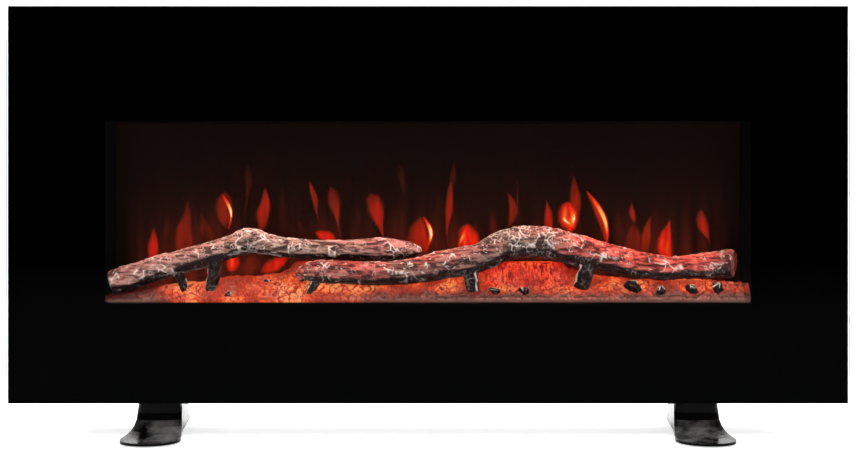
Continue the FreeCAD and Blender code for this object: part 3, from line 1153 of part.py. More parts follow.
# ---------------------------------------------------------------- the whole object
def lights(make):
    """One of a pair of light pieces under the spindle, and its twin under the ember bed."""
    pair = [make(SPINDLE_Y, FLAME_RAIL_H), make(ember_rail_y(), EMBER_RAIL_H)]
    return group([solid for shape in pair for solid in shape.Solids])


def outer_parts():
    return {
        "front_glass": front_glass(), "glass_print": glass_print(), "glass_frame": glass_frame(),
        "hanger_studs": hanger_studs(), "light_seal": light_seal(), "case_front": case_front(),
        "case_left_side": case_left_side(), "case_right_side": case_right_side(), "case_top": case_top(),
        "case_bottom": case_bottom(), "rear_cover": rear_cover(), "cover_lugs": cover_lugs(),
        "casing_screws": casing_screws(), "cable_gland": cable_gland(), "outlet_grille": outlet_grille(),
        "left_foot": placed_foot(-1), "right_foot": placed_foot(1), "foot_pads": foot_pads(),
        "foot_screws": foot_screws(), "foot_nut_plates": foot_nut_plates(),
    }


def firebox_parts():
    left_log, right_log = log(LEFT_LOG, LEFT_STUBS), log(RIGHT_LOG, RIGHT_STUBS)
    chunks = charred_chunks()
    return {
        "firebox_liner": firebox_liner(), "ember_tray": ember_tray(), "flame_screen": flame_screen(),
        "screen_retainers": screen_retainers(), "flame_mask": flame_mask(),
        "ember_bed": ember_bed([left_log, right_log] + chunks), "left_log": left_log, "right_log": right_log,
        "charred_chunks": group(chunks),
        "led_rails": lights(led_rail), "led_boards": lights(led_board), "leds": lights(leds),
        "spindle_rods": spindle_rods(), "flicker_foils": flicker_foils(), "spindle_coupling": spindle_coupling(),
        "spindle_brackets": spindle_brackets(), "spindle_bush": spindle_bush(), "spindle_motor": spindle_motor(),
    }


def heater_parts():
    return {
        "blower_impeller": blower_impeller(), "blower_shaft": blower_shaft(), "blower_housing": blower_housing(),
        "blower_bearing": blower_bearing(), "blower_motor_rotor": blower_motor_rotor(),
        "blower_motor_stator": blower_motor_stator(), "blower_motor_coil": blower_motor_coil(),
        "blower_motor_caps": blower_motor_caps(), "heater_element": heater_element(),
        "heater_holders": heater_holders(),
    }


def control_parts():
    parts = {name: push_button(z) for name, z in zip(BUTTON_NAMES, BUTTON_ZS)}
    lead_ends = [led_driver(), control_board(), blower_motor_coil(), spindle_motor(),
                 led_board(ember_rail_y(), EMBER_RAIL_H)]
    parts.update({
        "button_board": button_board(), "control_housing": control_housing(),
        "main_switch_body": main_switch_body(), "main_switch_rocker": main_switch_rocker(),
        "control_board": control_board(), "board_standoffs": board_standoffs(), "led_driver": led_driver(),
        "internal_leads": internal_leads(lead_ends),
    })
    return parts


def main():
    os.makedirs("parts", exist_ok=True)
    parts = {**outer_parts(), **firebox_parts(), **heater_parts(), **control_parts()}
    for name, shape in sorted(parts.items()):
        good = shape.isValid() and all(s.Volume > 0 for s in shape.Solids)
        print(f"{name:22s} solids {len(shape.Solids):3d}  cm3 {shape.Volume / 1000:9.3f}  {'ok' if good else 'BAD'}")
        shape.exportStep(f"parts/{name}.step")
    print(len(parts), "nodes")


main()
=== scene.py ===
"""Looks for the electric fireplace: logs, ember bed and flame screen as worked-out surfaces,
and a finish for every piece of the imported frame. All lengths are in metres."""
import itertools
import json
import math

import bpy
import numpy as np
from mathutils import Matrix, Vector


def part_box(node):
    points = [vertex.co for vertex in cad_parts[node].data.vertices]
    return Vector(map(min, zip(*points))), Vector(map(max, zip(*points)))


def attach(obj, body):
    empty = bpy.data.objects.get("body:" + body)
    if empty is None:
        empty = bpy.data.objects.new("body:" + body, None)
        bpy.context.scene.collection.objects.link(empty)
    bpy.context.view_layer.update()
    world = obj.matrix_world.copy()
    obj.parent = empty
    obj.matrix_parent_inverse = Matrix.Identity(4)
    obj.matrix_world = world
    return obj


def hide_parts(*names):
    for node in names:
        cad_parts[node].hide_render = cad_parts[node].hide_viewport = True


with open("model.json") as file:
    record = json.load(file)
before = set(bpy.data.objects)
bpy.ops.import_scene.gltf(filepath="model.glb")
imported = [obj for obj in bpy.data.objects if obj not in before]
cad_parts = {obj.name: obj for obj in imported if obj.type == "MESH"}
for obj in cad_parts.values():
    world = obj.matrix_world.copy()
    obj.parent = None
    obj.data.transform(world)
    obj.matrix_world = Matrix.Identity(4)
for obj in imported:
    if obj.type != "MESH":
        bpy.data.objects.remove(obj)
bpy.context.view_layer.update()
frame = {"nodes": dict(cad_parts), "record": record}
NODES = frame["nodes"]
MM = 0.001


# ---------------------------------------------------------------- patterns worked out as arrays
def share_at(cell, seed):
    """Repeatable share from 0 to 1 for a lattice corner: the fraction of
    43758.5453 sin(127.1 i + 311.7 j + 74.7 k + 19.19 seed)."""
    wave = np.sin(cell @ np.array([127.1, 311.7, 74.7]) + 19.19 * seed) * 43758.5453
    return wave - np.floor(wave)


def rumple(places, size, seed=0):
    """Smooth unevenness from 0 to 1 with lumps of one size: the shares at a cell's eight corners,
    mixed along each axis by t^2 (3 - 2 t)."""
    scaled = places / size
    cell = np.floor(scaled)
    t = scaled - cell
    t = t * t * (3 - 2 * t)
    total = 0.0
    for corner in itertools.product((0, 1), repeat=3):
        weight = np.prod(np.where(np.array(corner) == 1, t, 1 - t), axis=-1)
        total = total + weight * share_at(cell + corner, seed)
    return total


def rough(places, size, seed=0, octaves=3):
    """Fractal unevenness from 0 to 1: rumple at size, size / 2, size / 4 and so on, with weights
    1, 1/2, 1/4."""
    weights = [0.5 ** i for i in range(octaves)]
    return sum(w * rumple(places, size * w, seed + 7 * i) for i, w in enumerate(weights)) / sum(weights)


def plates(places, size, seed=0):
    """Crackled plates round the jittered points of a lattice: how far a place is from the crack
    round its plate (second nearest distance less nearest, in cells), and its plate's own share."""
    scaled = places / size
    cell = np.floor(scaled)
    nearest = np.full(scaled.shape[:-1], 9.0)
    second = nearest.copy()
    tone = np.zeros_like(nearest)
    for step in itertools.product((-1, 0, 1), repeat=3):
        corner = cell + step
        jitter = np.stack([share_at(corner, seed + k) for k in (1, 2, 3)], axis=-1)
        distance = np.linalg.norm(scaled - corner - jitter, axis=-1)
        closer = distance < nearest
        second = np.where(closer, nearest, np.minimum(second, distance))
        tone = np.where(closer, share_at(corner, seed + 4), tone)
        nearest = np.where(closer, distance, nearest)
    return second - nearest, tone


def ramp(values, low, high):
    """0 below low, 1 above high, and t^2 (3 - 2 t) between."""
    t = np.clip((values - low) / (high - low), 0, 1)
    return t * t * (3 - 2 * t)


def curve_through(rows, places):
    """Catmull-Rom curve through the rows of a table at places 0 to rows - 1:
    b + t/2 (c - a + t (2a - 5b + 4c - d + t (3 (b - c) + d - a)))."""
    rows = np.array(rows, float)
    last = len(rows) - 1
    i = np.clip(np.floor(places).astype(int), 0, last - 1)
    t = (places - i)[:, None]
    a, b, c, d = (rows[np.clip(i + k, 0, last)] for k in (-1, 0, 1, 2))
    return b + 0.5 * t * (c - a + t * (2 * a - 5 * b + 4 * c - d + t * (3 * (b - c) + d - a)))


def unit(vectors):
    return vectors / np.linalg.norm(vectors, axis=-1, keepdims=True)


# ---------------------------------------------------------------- meshes from arrays
def closed_loft(rings):
    """Corners and quads of a surface through rings (rows, around, 3): each ring is closed on itself,
    and each end is closed by a fan to the middle of its last ring."""
    rows, around = rings.shape[:2]
    corners = np.concatenate([rings.reshape(-1, 3), rings[0].mean(0)[None], rings[-1].mean(0)[None]])
    i, j = np.meshgrid(np.arange(rows - 1), np.arange(around), indexing="ij")
    here, beside = i * around + j, i * around + (j + 1) % around
    quads = np.stack([here, beside, beside + around, here + around], -1).reshape(-1, 4)
    j = np.arange(around)
    nxt, low, high = (j + 1) % around, rows * around, rows * around + 1
    end = (rows - 1) * around
    fans = np.concatenate([np.stack([nxt, j, np.full(around, low)], -1),
                           np.stack([end + j, end + nxt, np.full(around, high)], -1)])
    a, b, c, d = (corners[quads[:, k]] for k in range(4))
    volume = np.sum(np.cross(a, b) * c) + np.sum(np.cross(a, c) * d)
    if volume < 0:
        quads, fans = quads[:, ::-1], fans[:, ::-1]
    return corners, quads, fans


def piece(name, surfaces, node, finish, marks=(), flat=False):
    """One mesh object from closed surfaces. Each surface is its rings with one array of the same
    rows and columns for each mark, which becomes a vertex attribute."""
    corners, loops, starts, sizes, total, shades = [], [], [], [], 0, {mark: [] for mark in marks}
    for rings, values in surfaces:
        points, quads, fans = closed_loft(rings)
        for faces in (quads, fans):
            sizes.append(np.full(len(faces), faces.shape[1]))
            loops.append((faces + total).ravel())
        corners.append(points)
        total += len(points)
        for mark in marks:
            grid = values[mark]
            shades[mark].append(np.concatenate([grid.ravel(), [grid[0].mean(), grid[-1].mean()]]))
    corners, loops, sizes = np.concatenate(corners), np.concatenate(loops), np.concatenate(sizes)
    starts = np.concatenate([[0], np.cumsum(sizes)[:-1]])
    mesh = bpy.data.meshes.new(name)
    mesh.vertices.add(len(corners))
    mesh.vertices.foreach_set("co", corners.astype(np.float32).ravel())
    mesh.loops.add(len(loops))
    mesh.loops.foreach_set("vertex_index", loops.astype(np.int32))
    mesh.polygons.add(len(sizes))
    mesh.polygons.foreach_set("loop_start", starts.astype(np.int32))
    mesh.update(calc_edges=True)
    mesh.polygons.foreach_set("use_smooth", np.full(len(sizes), not flat))
    for mark in marks:
        layer = mesh.attributes.new(mark, "FLOAT", "POINT")
        layer.data.foreach_set("value", np.concatenate(shades[mark]).astype(np.float32))
    mesh.materials.append(finish)
    made = bpy.data.objects.new(name, mesh)
    bpy.context.scene.collection.objects.link(made)
    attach(made, "cabinet")
    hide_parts(*([node] if isinstance(node, str) else node))
    return made


# ---------------------------------------------------------------- shader building
def add(tree, kind, inputs=None, **settings):
    """One shader node; each input is a value or another node's output."""
    made = tree.nodes.new(kind)
    for name, value in settings.items():
        setattr(made, name, value)
    for name, value in (inputs or {}).items():
        if isinstance(value, bpy.types.NodeSocket):
            tree.links.new(value, made.inputs[name])
        else:
            made.inputs[name].default_value = value
    return made


def calc(tree, operation, *values, clamp=False):
    made = add(tree, "ShaderNodeMath", dict(enumerate(values)), operation=operation, use_clamp=clamp)
    return made.outputs[0]


def blend_colour(tree, amount, a, b, way="MIX"):
    mixed = add(tree, "ShaderNodeMix", {0: amount, 6: a, 7: b}, data_type="RGBA", blend_type=way)
    return mixed.outputs[2]


def between(tree, value, low, high, to_low=0.0, to_high=1.0):
    """The value's place between low and high, clamped, as a number from to_low to to_high."""
    return add(tree, "ShaderNodeMapRange", {0: value, 1: low, 2: high, 3: to_low, 4: to_high}).outputs[0]


def ramp_colours(tree, value, stops):
    """Colours by value; the first stop is at 0 and the last at 1."""
    made = add(tree, "ShaderNodeValToRGB", {0: value})
    stops_here = made.color_ramp.elements
    stops_here[0].color = (*stops[0][1], 1.0)
    stops_here[-1].color = (*stops[-1][1], 1.0)
    for place, colour in stops[1:-1]:
        stops_here.new(place).color = (*colour, 1.0)
    return made.outputs[0]


def group(name, inputs, outputs, build):
    """Shader node group with named inputs and outputs; build gets its tree and its inputs' sockets,
    and returns one socket for each output."""
    tree = bpy.data.node_groups.new(name, "ShaderNodeTree")
    for label, value in inputs.items():
        kind = "NodeSocketColor" if isinstance(value, tuple) else "NodeSocketFloat"
        tree.interface.new_socket(label, in_out="INPUT", socket_type=kind).default_value = value
    for label in outputs:
        kind = "NodeSocketColor" if "Colour" in label else "NodeSocketFloat"
        tree.interface.new_socket(label, in_out="OUTPUT", socket_type=kind)
    entry, leave = tree.nodes.new("NodeGroupInput"), tree.nodes.new("NodeGroupOutput")
    for label, socket in zip(outputs, build(tree, entry.outputs)):
        tree.links.new(socket, leave.inputs[label])
    return tree


def use(tree, effect, **values):
    """Places a group in a material with its own values; a label's spaces are written as underscores."""
    made = tree.nodes.new("ShaderNodeGroup")
    made.node_tree = effect
    for label, value in values.items():
        socket = made.inputs[label.replace("_", " ")]
        if isinstance(value, bpy.types.NodeSocket):
            tree.links.new(value, socket)
        else:
            socket.default_value = value
    return made.outputs


def object_place(tree, stretch=(1, 1, 1)):
    here = add(tree, "ShaderNodeTexCoord").outputs["Object"]
    return add(tree, "ShaderNodeMapping", {"Vector": here, "Scale": stretch}).outputs[0]


def noise(tree, place, scale, detail=3.0, roughness=0.55):
    made = add(tree, "ShaderNodeTexNoise",
               {"Vector": place, "Scale": scale, "Detail": detail, "Roughness": roughness})
    return made.outputs[0]


def grain_nodes(tree, inputs):
    """Moulded or sprayed skin: fine grain for the height, slow patches for tone and gloss."""
    place = object_place(tree)
    fine = noise(tree, place, inputs["Grain"], 2.0)
    slow = noise(tree, place, inputs["Patches"], 4.0, 0.6)
    return fine, between(tree, slow, 0.3, 0.7), between(tree, fine, 0.35, 0.65)


def worn_edge_and_highlight_nodes(tree, inputs):
    """Edges rubbed through, also used as a painted highlight line along the rims of the gloss black feet: where the
    rounded normal leaves the face's own, broken up by grain.
    """
    rounded = add(tree, "ShaderNodeBevel", {"Radius": 0.0012}, samples=4).outputs[0]
    own = add(tree, "ShaderNodeNewGeometry").outputs["Normal"]
    agree = add(tree, "ShaderNodeVectorMath", {0: rounded, 1: own}, operation="DOT_PRODUCT").outputs["Value"]
    edge = between(tree, agree, 0.995, 0.85)
    patchy = between(tree, noise(tree, object_place(tree), inputs["Grain"], 4.0, 0.65), 0.42, 0.62)
    return [calc(tree, "MULTIPLY", calc(tree, "MULTIPLY", edge, patchy), inputs["Amount"], clamp=True)]


def dust_and_sheen_nodes(tree, inputs):
    """Dust that lies on faces that look up, thicker in patches; the same mask also paints a sheen on the up-facing toe
    tops of the gloss black feet.
    """
    normal = add(tree, "ShaderNodeNewGeometry").outputs["Normal"]
    up = add(tree, "ShaderNodeSeparateXYZ", {0: normal}).outputs[2]
    lying = between(tree, up, 0.5, 0.98)
    patches = between(tree, noise(tree, object_place(tree), inputs["Patches"], 5.0, 0.62), 0.38, 0.72)
    return [calc(tree, "MULTIPLY", calc(tree, "MULTIPLY", lying, patches), inputs["Amount"], clamp=True)]


def brushed_nodes(tree, inputs):
    """Lines drawn out along one axis: noise squeezed across it and stretched along it."""
    here = add(tree, "ShaderNodeTexCoord").outputs["Object"]
    squeeze = add(tree, "ShaderNodeCombineXYZ",
                  {0: inputs["Scale X"], 1: inputs["Scale Y"], 2: inputs["Scale Z"]})
    place = add(tree, "ShaderNodeVectorMath", {0: here, 1: squeeze.outputs[0]}, operation="MULTIPLY").outputs[0]
    lines = noise(tree, place, 1.0, 3.0, 0.6)
    return lines, between(tree, lines, 0.3, 0.7)


def spangle_nodes(tree, inputs):
    """Zinc crystals: each cell has its own tone, with a fine frost inside it."""
    place = object_place(tree)
    cell = add(tree, "ShaderNodeTexVoronoi", {"Vector": place, "Scale": inputs["Crystals"]})
    tone = add(tree, "ShaderNodeSeparateColor", {0: cell.outputs["Color"]}).outputs[0]
    frost = noise(tree, place, calc(tree, "MULTIPLY", inputs["Crystals"], 9.0), 2.0)
    return calc(tree, "ADD", calc(tree, "MULTIPLY", tone, 0.7), calc(tree, "MULTIPLY", frost, 0.3)), frost


def turns_nodes(tree, inputs):
    """Even ridges side by side along one axis, as on wound wire, stacked sheets or a turned shaft."""
    here = add(tree, "ShaderNodeTexCoord").outputs["Object"]
    along = add(tree, "ShaderNodeCombineXYZ",
                {0: inputs["Per metre X"], 1: inputs["Per metre Y"], 2: inputs["Per metre Z"]})
    turned = add(tree, "ShaderNodeVectorMath", {0: here, 1: along.outputs[0]}, operation="DOT_PRODUCT")
    phase = turned.outputs["Value"]
    wobble = calc(tree, "MULTIPLY", noise(tree, object_place(tree), 90.0, 2.0), inputs["Unevenness"])
    wave = calc(tree, "SINE", calc(tree, "MULTIPLY", calc(tree, "ADD", phase, wobble), 2 * math.pi))
    ridge = calc(tree, "ADD", calc(tree, "MULTIPLY", wave, 0.5), 0.5)
    return ridge, calc(tree, "POWER", ridge, 0.5)


GRAIN = group("Skin Grain", {"Grain": 900.0, "Patches": 12.0}, ["Height", "Patch", "Tone"], grain_nodes)
WORN_EDGE_AND_HIGHLIGHT = group("Worn Edge And Highlight", {"Grain": 260.0, "Amount": 0.5}, ["Mask"], worn_edge_and_highlight_nodes)
DUST_AND_SHEEN = group("Settled Dust And Sheen", {"Patches": 30.0, "Amount": 0.2}, ["Mask"], dust_and_sheen_nodes)
BRUSHED = group("Brushed Lines", {"Scale X": 900.0, "Scale Y": 900.0, "Scale Z": 900.0},
                ["Height", "Tone"], brushed_nodes)
SPANGLE = group("Zinc Spangle", {"Crystals": 120.0}, ["Tone", "Frost"], spangle_nodes)
TURNS = group("Even Turns",
              {"Per metre X": 1000.0, "Per metre Y": 0.0, "Per metre Z": 0.0, "Unevenness": 0.15},
              ["Height", "Tone"], turns_nodes)


def finish_of(name):
    """A new material with its tree emptied down to a Principled shader and the output."""
    made = bpy.data.materials.new(name)
    made.use_nodes = True
    tree = made.node_tree
    return made, tree, tree.nodes["Principled BSDF"]


def bump(tree, shader, height, distance, strength=1.0):
    made = add(tree, "ShaderNodeBump", {"Height": height, "Distance": distance, "Strength": strength})
    tree.links.new(made.outputs[0], shader.inputs["Normal"])


def feed(tree, shader, **sockets):
    for label, value in sockets.items():
        tree.links.new(value, shader.inputs[label.replace("_", " ")])


def grey(tone, tint=(1.0, 1.0, 1.0)):
    return (tone * tint[0], tone * tint[1], tone * tint[2], 1.0)


def toned(colour, share):
    """The colour made darker or lighter by a share, and opaque."""
    return tuple(min(1.0, share * c) for c in colour[:3]) + (1.0,)


def coated(name, colour, worn_and_highlight, gloss, grain, depth, patches=12.0, wear_and_highlight=0.35, dust_and_sheen=0.2, dust_and_sheen_tone=0.3,
           specular=0.5):
    """Painted, moulded or rubber skin: base colour in slow patches, rubbed edges, settled dust on faces that look up,
    fine grain. On gloss black plastic the up-facing mask also paints a sheen and the edge mask a highlight line.
    """
    made, tree, shader = finish_of(name)
    skin = use(tree, GRAIN, Grain=grain, Patches=patches)
    # rubbed edges: real wear, and on the gloss black feet a painted highlight line along the rims
    edge = use(tree, WORN_EDGE_AND_HIGHLIGHT, Amount=wear_and_highlight)["Mask"]
    # up-facing mask: real settled dust, and on the gloss black feet a painted sheen on the toe tops
    dust_and_sheen_mask = use(tree, DUST_AND_SHEEN, Amount=dust_and_sheen)["Mask"]
    dark, light = toned(colour, 0.8), toned(colour, 1.25)
    shade = blend_colour(tree, skin["Patch"], dark, light)
    shade = blend_colour(tree, edge, shade, worn_and_highlight)
    shade = blend_colour(tree, dust_and_sheen_mask, shade, grey(dust_and_sheen_tone, (1.0, 0.96, 0.9)))
    low, high = gloss
    shine = between(tree, skin["Patch"], 0.0, 1.0, low, high)
    shine = calc(tree, "ADD", shine, calc(tree, "MULTIPLY", dust_and_sheen_mask, 0.3), clamp=True)
    feed(tree, shader, Base_Color=shade, Roughness=shine)
    shader.inputs["Specular IOR Level"].default_value = specular
    bump(tree, shader, skin["Height"], depth)
    return made


def bare_metal(name, colour, gloss, lines=None, crystals=None, turns=None, depth=0.00002, dust_and_sheen=0.12):
    """Bare metal: brushed lines, zinc crystals or even turns give its tone, gloss and height."""
    made, tree, shader = finish_of(name)
    if lines:
        effect = use(tree, BRUSHED, Scale_X=lines[0], Scale_Y=lines[1], Scale_Z=lines[2])
        height, tone = effect["Height"], effect["Tone"]
    elif crystals:
        effect = use(tree, SPANGLE, Crystals=crystals)
        height, tone = effect["Frost"], effect["Tone"]
    else:
        effect = use(tree, TURNS, Per_metre_X=turns[0], Per_metre_Y=turns[1], Per_metre_Z=turns[2],
                     Unevenness=turns[3])
        height, tone = effect["Height"], effect["Tone"]
    dust_and_sheen_mask = use(tree, DUST_AND_SHEEN, Amount=dust_and_sheen)["Mask"]
    edge = use(tree, WORN_EDGE_AND_HIGHLIGHT, Amount=0.5)["Mask"]
    dark, light = toned(colour, 0.72), toned(colour, 1.1)
    shade = blend_colour(tree, tone, dark, light)
    shade = blend_colour(tree, edge, shade, light)
    shade = blend_colour(tree, dust_and_sheen_mask, shade, grey(0.35, (1.0, 0.96, 0.9)))
    low, high = gloss
    shine = between(tree, tone, 0.0, 1.0, high, low)
    shine = calc(tree, "ADD", shine, calc(tree, "MULTIPLY", dust_and_sheen_mask, 0.3), clamp=True)
    feed(tree, shader, Base_Color=shade, Roughness=shine, Metallic=between(tree, dust_and_sheen_mask, 0.0, 1.0, 1.0, 0.4))
    bump(tree, shader, height, depth)
    return made


def clear_glass():
    """Clear tempered glass, quiet in its reflections, with faint smears in its gloss."""
    made, tree, shader = finish_of("clear_tempered_glass")
    smear = use(tree, GRAIN, Grain=700.0, Patches=6.0)
    feed(tree, shader, Roughness=between(tree, smear["Patch"], 0.0, 1.0, 0.0, 0.012))
    shader.inputs["Base Color"].default_value = (0.985, 0.995, 0.99, 1.0)
    shader.inputs["Transmission Weight"].default_value = 1.0
    shader.inputs["IOR"].default_value = 1.06
    shader.inputs["Specular IOR Level"].default_value = 0.05
    return made


def enamel():
    """Fired black enamel with a faint pin-hole texture."""
    made, tree, shader = finish_of("black_fired_enamel")
    skin = use(tree, GRAIN, Grain=1500.0, Patches=8.0)
    shade = blend_colour(tree, skin["Patch"], (0.0002, 0.0002, 0.0002, 1.0), (0.0005, 0.0005, 0.0005, 1.0))
    feed(tree, shader, Base_Color=shade, Roughness=between(tree, skin["Tone"], 0.0, 1.0, 0.35, 0.5))
    shader.inputs["Specular IOR Level"].default_value = 0.02
    bump(tree, shader, skin["Height"], 0.00001)
    return made


def circuit_board():
    """Solder mask over copper runs that turn at right angles, with bright pads at their ends."""
    made, tree, shader = finish_of("green_circuit_board")
    place = object_place(tree)
    runs = add(tree, "ShaderNodeTexBrick", {"Vector": place, "Scale": 130.0, "Mortar Size": 0.12, "Bias": 0.0},
               offset=0.35).outputs["Fac"]
    dots = add(tree, "ShaderNodeTexVoronoi", {"Vector": place, "Scale": 260.0, "Randomness": 0.25})
    pads = between(tree, dots.outputs["Distance"], 0.2, 0.15)
    skin = use(tree, GRAIN, Grain=1200.0, Patches=20.0)
    mask = blend_colour(tree, skin["Patch"], (0.012, 0.10, 0.045, 1.0), (0.03, 0.17, 0.07, 1.0))
    shade = blend_colour(tree, calc(tree, "MULTIPLY", runs, 0.7), mask, (0.07, 0.32, 0.11, 1.0))
    shade = blend_colour(tree, pads, shade, (0.75, 0.72, 0.62, 1.0))
    dust_and_sheen_mask = use(tree, DUST_AND_SHEEN, Amount=0.15)["Mask"]
    shade = blend_colour(tree, dust_and_sheen_mask, shade, grey(0.4))
    feed(tree, shader, Base_Color=shade, Metallic=calc(tree, "MULTIPLY", pads, 0.8),
         Roughness=between(tree, skin["Patch"], 0.0, 1.0, 0.25, 0.4))
    bump(tree, shader, calc(tree, "ADD", runs, pads), 0.00006)
    return made


def light_chips():
    """Yellow phosphor windows on white bodies, faintly lit."""
    made, tree, shader = finish_of("warm_light_chips")
    skin = use(tree, GRAIN, Grain=1500.0, Patches=90.0)
    shade = blend_colour(tree, skin["Patch"], (0.92, 0.72, 0.22, 1.0), (0.95, 0.88, 0.62, 1.0))
    feed(tree, shader, Base_Color=shade, Emission_Color=shade,
         Roughness=between(tree, skin["Tone"], 0, 1, 0.3, 0.45))
    shader.inputs["Emission Strength"].default_value = 1.5
    bump(tree, shader, skin["Height"], 0.00003)
    return made


FINISHES = {
    "clear_glass": clear_glass(),
    "black_enamel": enamel(),
    "black_steel": coated("satin_black_powder_coat",
                          (0.010, 0.010, 0.011), grey(0.16), (0.42, 0.55), 1100.0, 0.00006,
                          wear_and_highlight=0.35, dust_and_sheen=0.08, dust_and_sheen_tone=0.16, specular=0.22),
    "liner_black": coated("matt_black_heat_paint",
                          (0.0015, 0.0012, 0.0012), grey(0.03), (0.75, 0.9), 1500.0, 0.00004,
                          wear_and_highlight=0.1, dust_and_sheen=0.03, dust_and_sheen_tone=0.05, specular=0.05),
    "component_black": coated("black_moulded_plastic",
                              (0.02, 0.02, 0.021), grey(0.07), (0.4, 0.55), 1800.0, 0.00005,
                              wear_and_highlight=0.4, dust_and_sheen=0.15),
    "white_nylon": coated("white_nylon",
                          (0.66, 0.65, 0.6), grey(0.82), (0.35, 0.5), 1300.0, 0.00003, wear_and_highlight=0.3),
    "black_rubber": coated("matt_black_rubber",
                           (0.016, 0.016, 0.016), grey(0.06), (0.7, 0.85), 1600.0, 0.00008,
                           wear_and_highlight=0.4, dust_and_sheen=0.25),
    "black_foam": coated("closed_cell_foam", (0.025, 0.025, 0.026), grey(0.05), (0.85, 0.95), 700.0, 0.0003,
                         wear_and_highlight=0.1, dust_and_sheen=0.2),
    "white_ceramic": coated("white_ceramic",
                            (0.72, 0.7, 0.65), grey(0.85), (0.55, 0.7), 900.0, 0.00006, wear_and_highlight=0.2),
    "button_black": coated("satin_black_button",
                           (0.022, 0.022, 0.024), grey(0.09), (0.3, 0.42), 2200.0, 0.00003,
                           wear_and_highlight=0.5, dust_and_sheen=0.1),
    # on these gloss black feet the high dust and wear settings paint a grey sheen on the up-facing toe tops and a
    # bright highlight line along the rims
    "gloss_black_plastic": coated("gloss_black_plastic",
                                  (0.0008, 0.0008, 0.0009), grey(0.12), (0.14, 0.22), 500.0,
                                  0.00001, wear_and_highlight=0.8, dust_and_sheen=0.7, dust_and_sheen_tone=0.16, specular=0.03),
    "lead_red": coated("red_lead_insulation",
                       (0.42, 0.025, 0.02), (0.5, 0.12, 0.1, 1.0), (0.35, 0.45), 1500.0,
                       0.00003, wear_and_highlight=0.1),
    "zinc_steel": bare_metal("bright_zinc_plate",
                             (0.62, 0.63, 0.64), (0.22, 0.4), lines=(300.0, 900.0, 900.0)),
    "blower_steel": bare_metal("galvanised_sheet", (0.52, 0.53, 0.54), (0.28, 0.5), crystals=110.0),
    "mirror_aluminium": bare_metal("bright_foil",
                                   (0.86, 0.86, 0.87), (0.08, 0.2), lines=(60.0, 1400.0, 1400.0)),
    "heater_aluminium": bare_metal("finned_aluminium",
                                   (0.72, 0.72, 0.73), (0.3, 0.45), lines=(1800.0, 200.0, 1800.0)),
    "shaft_steel": bare_metal("ground_shaft", (0.66, 0.66, 0.68), (0.15, 0.3), turns=(2400.0, 0.0, 0.0, 0.8),
                              depth=0.000008),
    "lamination_steel": bare_metal("stacked_laminations", (0.3, 0.31, 0.33), (0.35, 0.55),
                                   turns=(2000.0, 0.0, 0.0, 0.1), depth=0.00012),
    "copper_winding": bare_metal("enamelled_copper_wire", (0.72, 0.3, 0.12), (0.2, 0.35),
                                 turns=(2200.0, 0.0, 0.0, 0.25), depth=0.0002),
    "circuit_green": circuit_board(),
    "led_white": light_chips(),
}
for part in frame["record"]["subparts"]:
    if part["material_slot"] in FINISHES:
        skin_of_node = NODES[part["node"]].data
        skin_of_node.materials.clear()
        skin_of_node.materials.append(FINISHES[part["material_slot"]])


# ---------------------------------------------------------------- places taken from the frame
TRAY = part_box("ember_tray")
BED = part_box("ember_bed")
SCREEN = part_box("flame_screen")
BOX_HW = TRAY[1].x
IN_Y0 = TRAY[0].y
SCREEN_Y0 = SCREEN[0].y
FLOOR_Z = BED[0].z


def depth_at(place):
    """Depth in the firebox, from the casing front (0) to the flame screen (1)."""
    return IN_Y0 + place * (SCREEN_Y0 - IN_Y0)


# ---------------------------------------------------------------- logs
# share of the firebox half-width, place between the glass (0) and the screen (1), height above
# the tray and radius, both in millimetres
LEFT_LOG = [(-0.985, 0.42, 30.0, 16.5), (-0.87, 0.43, 45.5, 16.0), (-0.745, 0.45, 60.0, 15.5),
            (-0.62, 0.49, 76.0, 14.5), (-0.56, 0.52, 85.0, 15.5), (-0.50, 0.54, 79.0, 12.5),
            (-0.40, 0.56, 74.0, 12.5), (-0.28, 0.59, 72.0, 13.0), (-0.15, 0.62, 72.0, 15.5),
            (-0.09, 0.62, 72.0, 13.0), (-0.055, 0.62, 71.5, 10.5), (-0.03, 0.62, 71.0, 5.5)]
RIGHT_LOG = [(-0.40, 0.27, 37.0, 6.5), (-0.375, 0.28, 44.0, 12.0), (-0.33, 0.28, 44.5, 14.5),
             (-0.15, 0.28, 42.5, 15.0), (-0.03, 0.31, 46.0, 16.5), (0.04, 0.36, 52.5, 18.5),
             (0.16, 0.39, 62.5, 18.5), (0.24, 0.43, 78.0, 19.5), (0.35, 0.46, 83.0, 20.0),
             (0.45, 0.46, 74.0, 19.5), (0.60, 0.45, 58.0, 18.0), (0.73, 0.43, 49.0, 16.0),
             (0.79, 0.43, 50.0, 15.0), (0.90, 0.43, 53.5, 16.5), (0.95, 0.43, 55.0, 18.5),
             (0.978, 0.43, 54.5, 16.5)]
LEFT_STUBS = [((-0.665, 0.44, 68.0, 10.0), (-0.68, 0.30, 14.0, 8.5), 0.7),
              ((-0.79, 0.42, 50.0, 8.0), (-0.755, 0.26, 16.0, 6.0), -0.6)]
RIGHT_STUBS = [((-0.345, 0.28, 42.0, 7.0), (-0.37, 0.20, 16.0, 5.0), -0.4),
               ((0.12, 0.37, 57.0, 11.0), (0.14, 0.26, 20.0, 9.0), 0.1),
               ((0.50, 0.44, 62.0, 12.0), (0.475, 0.28, 24.0, 10.0), 0.4)]
# the second mark carries burnt paint and also painted shade on the log undersides
MARKS = ("vein", "char_and_shade", "blush", "tone")


def stations_in_metres(stations):
    s = np.array(stations, float)
    return np.stack([s[:, 0] * BOX_HW, depth_at(s[:, 1]), FLOOR_Z + s[:, 2] * MM, s[:, 3] * MM], -1)


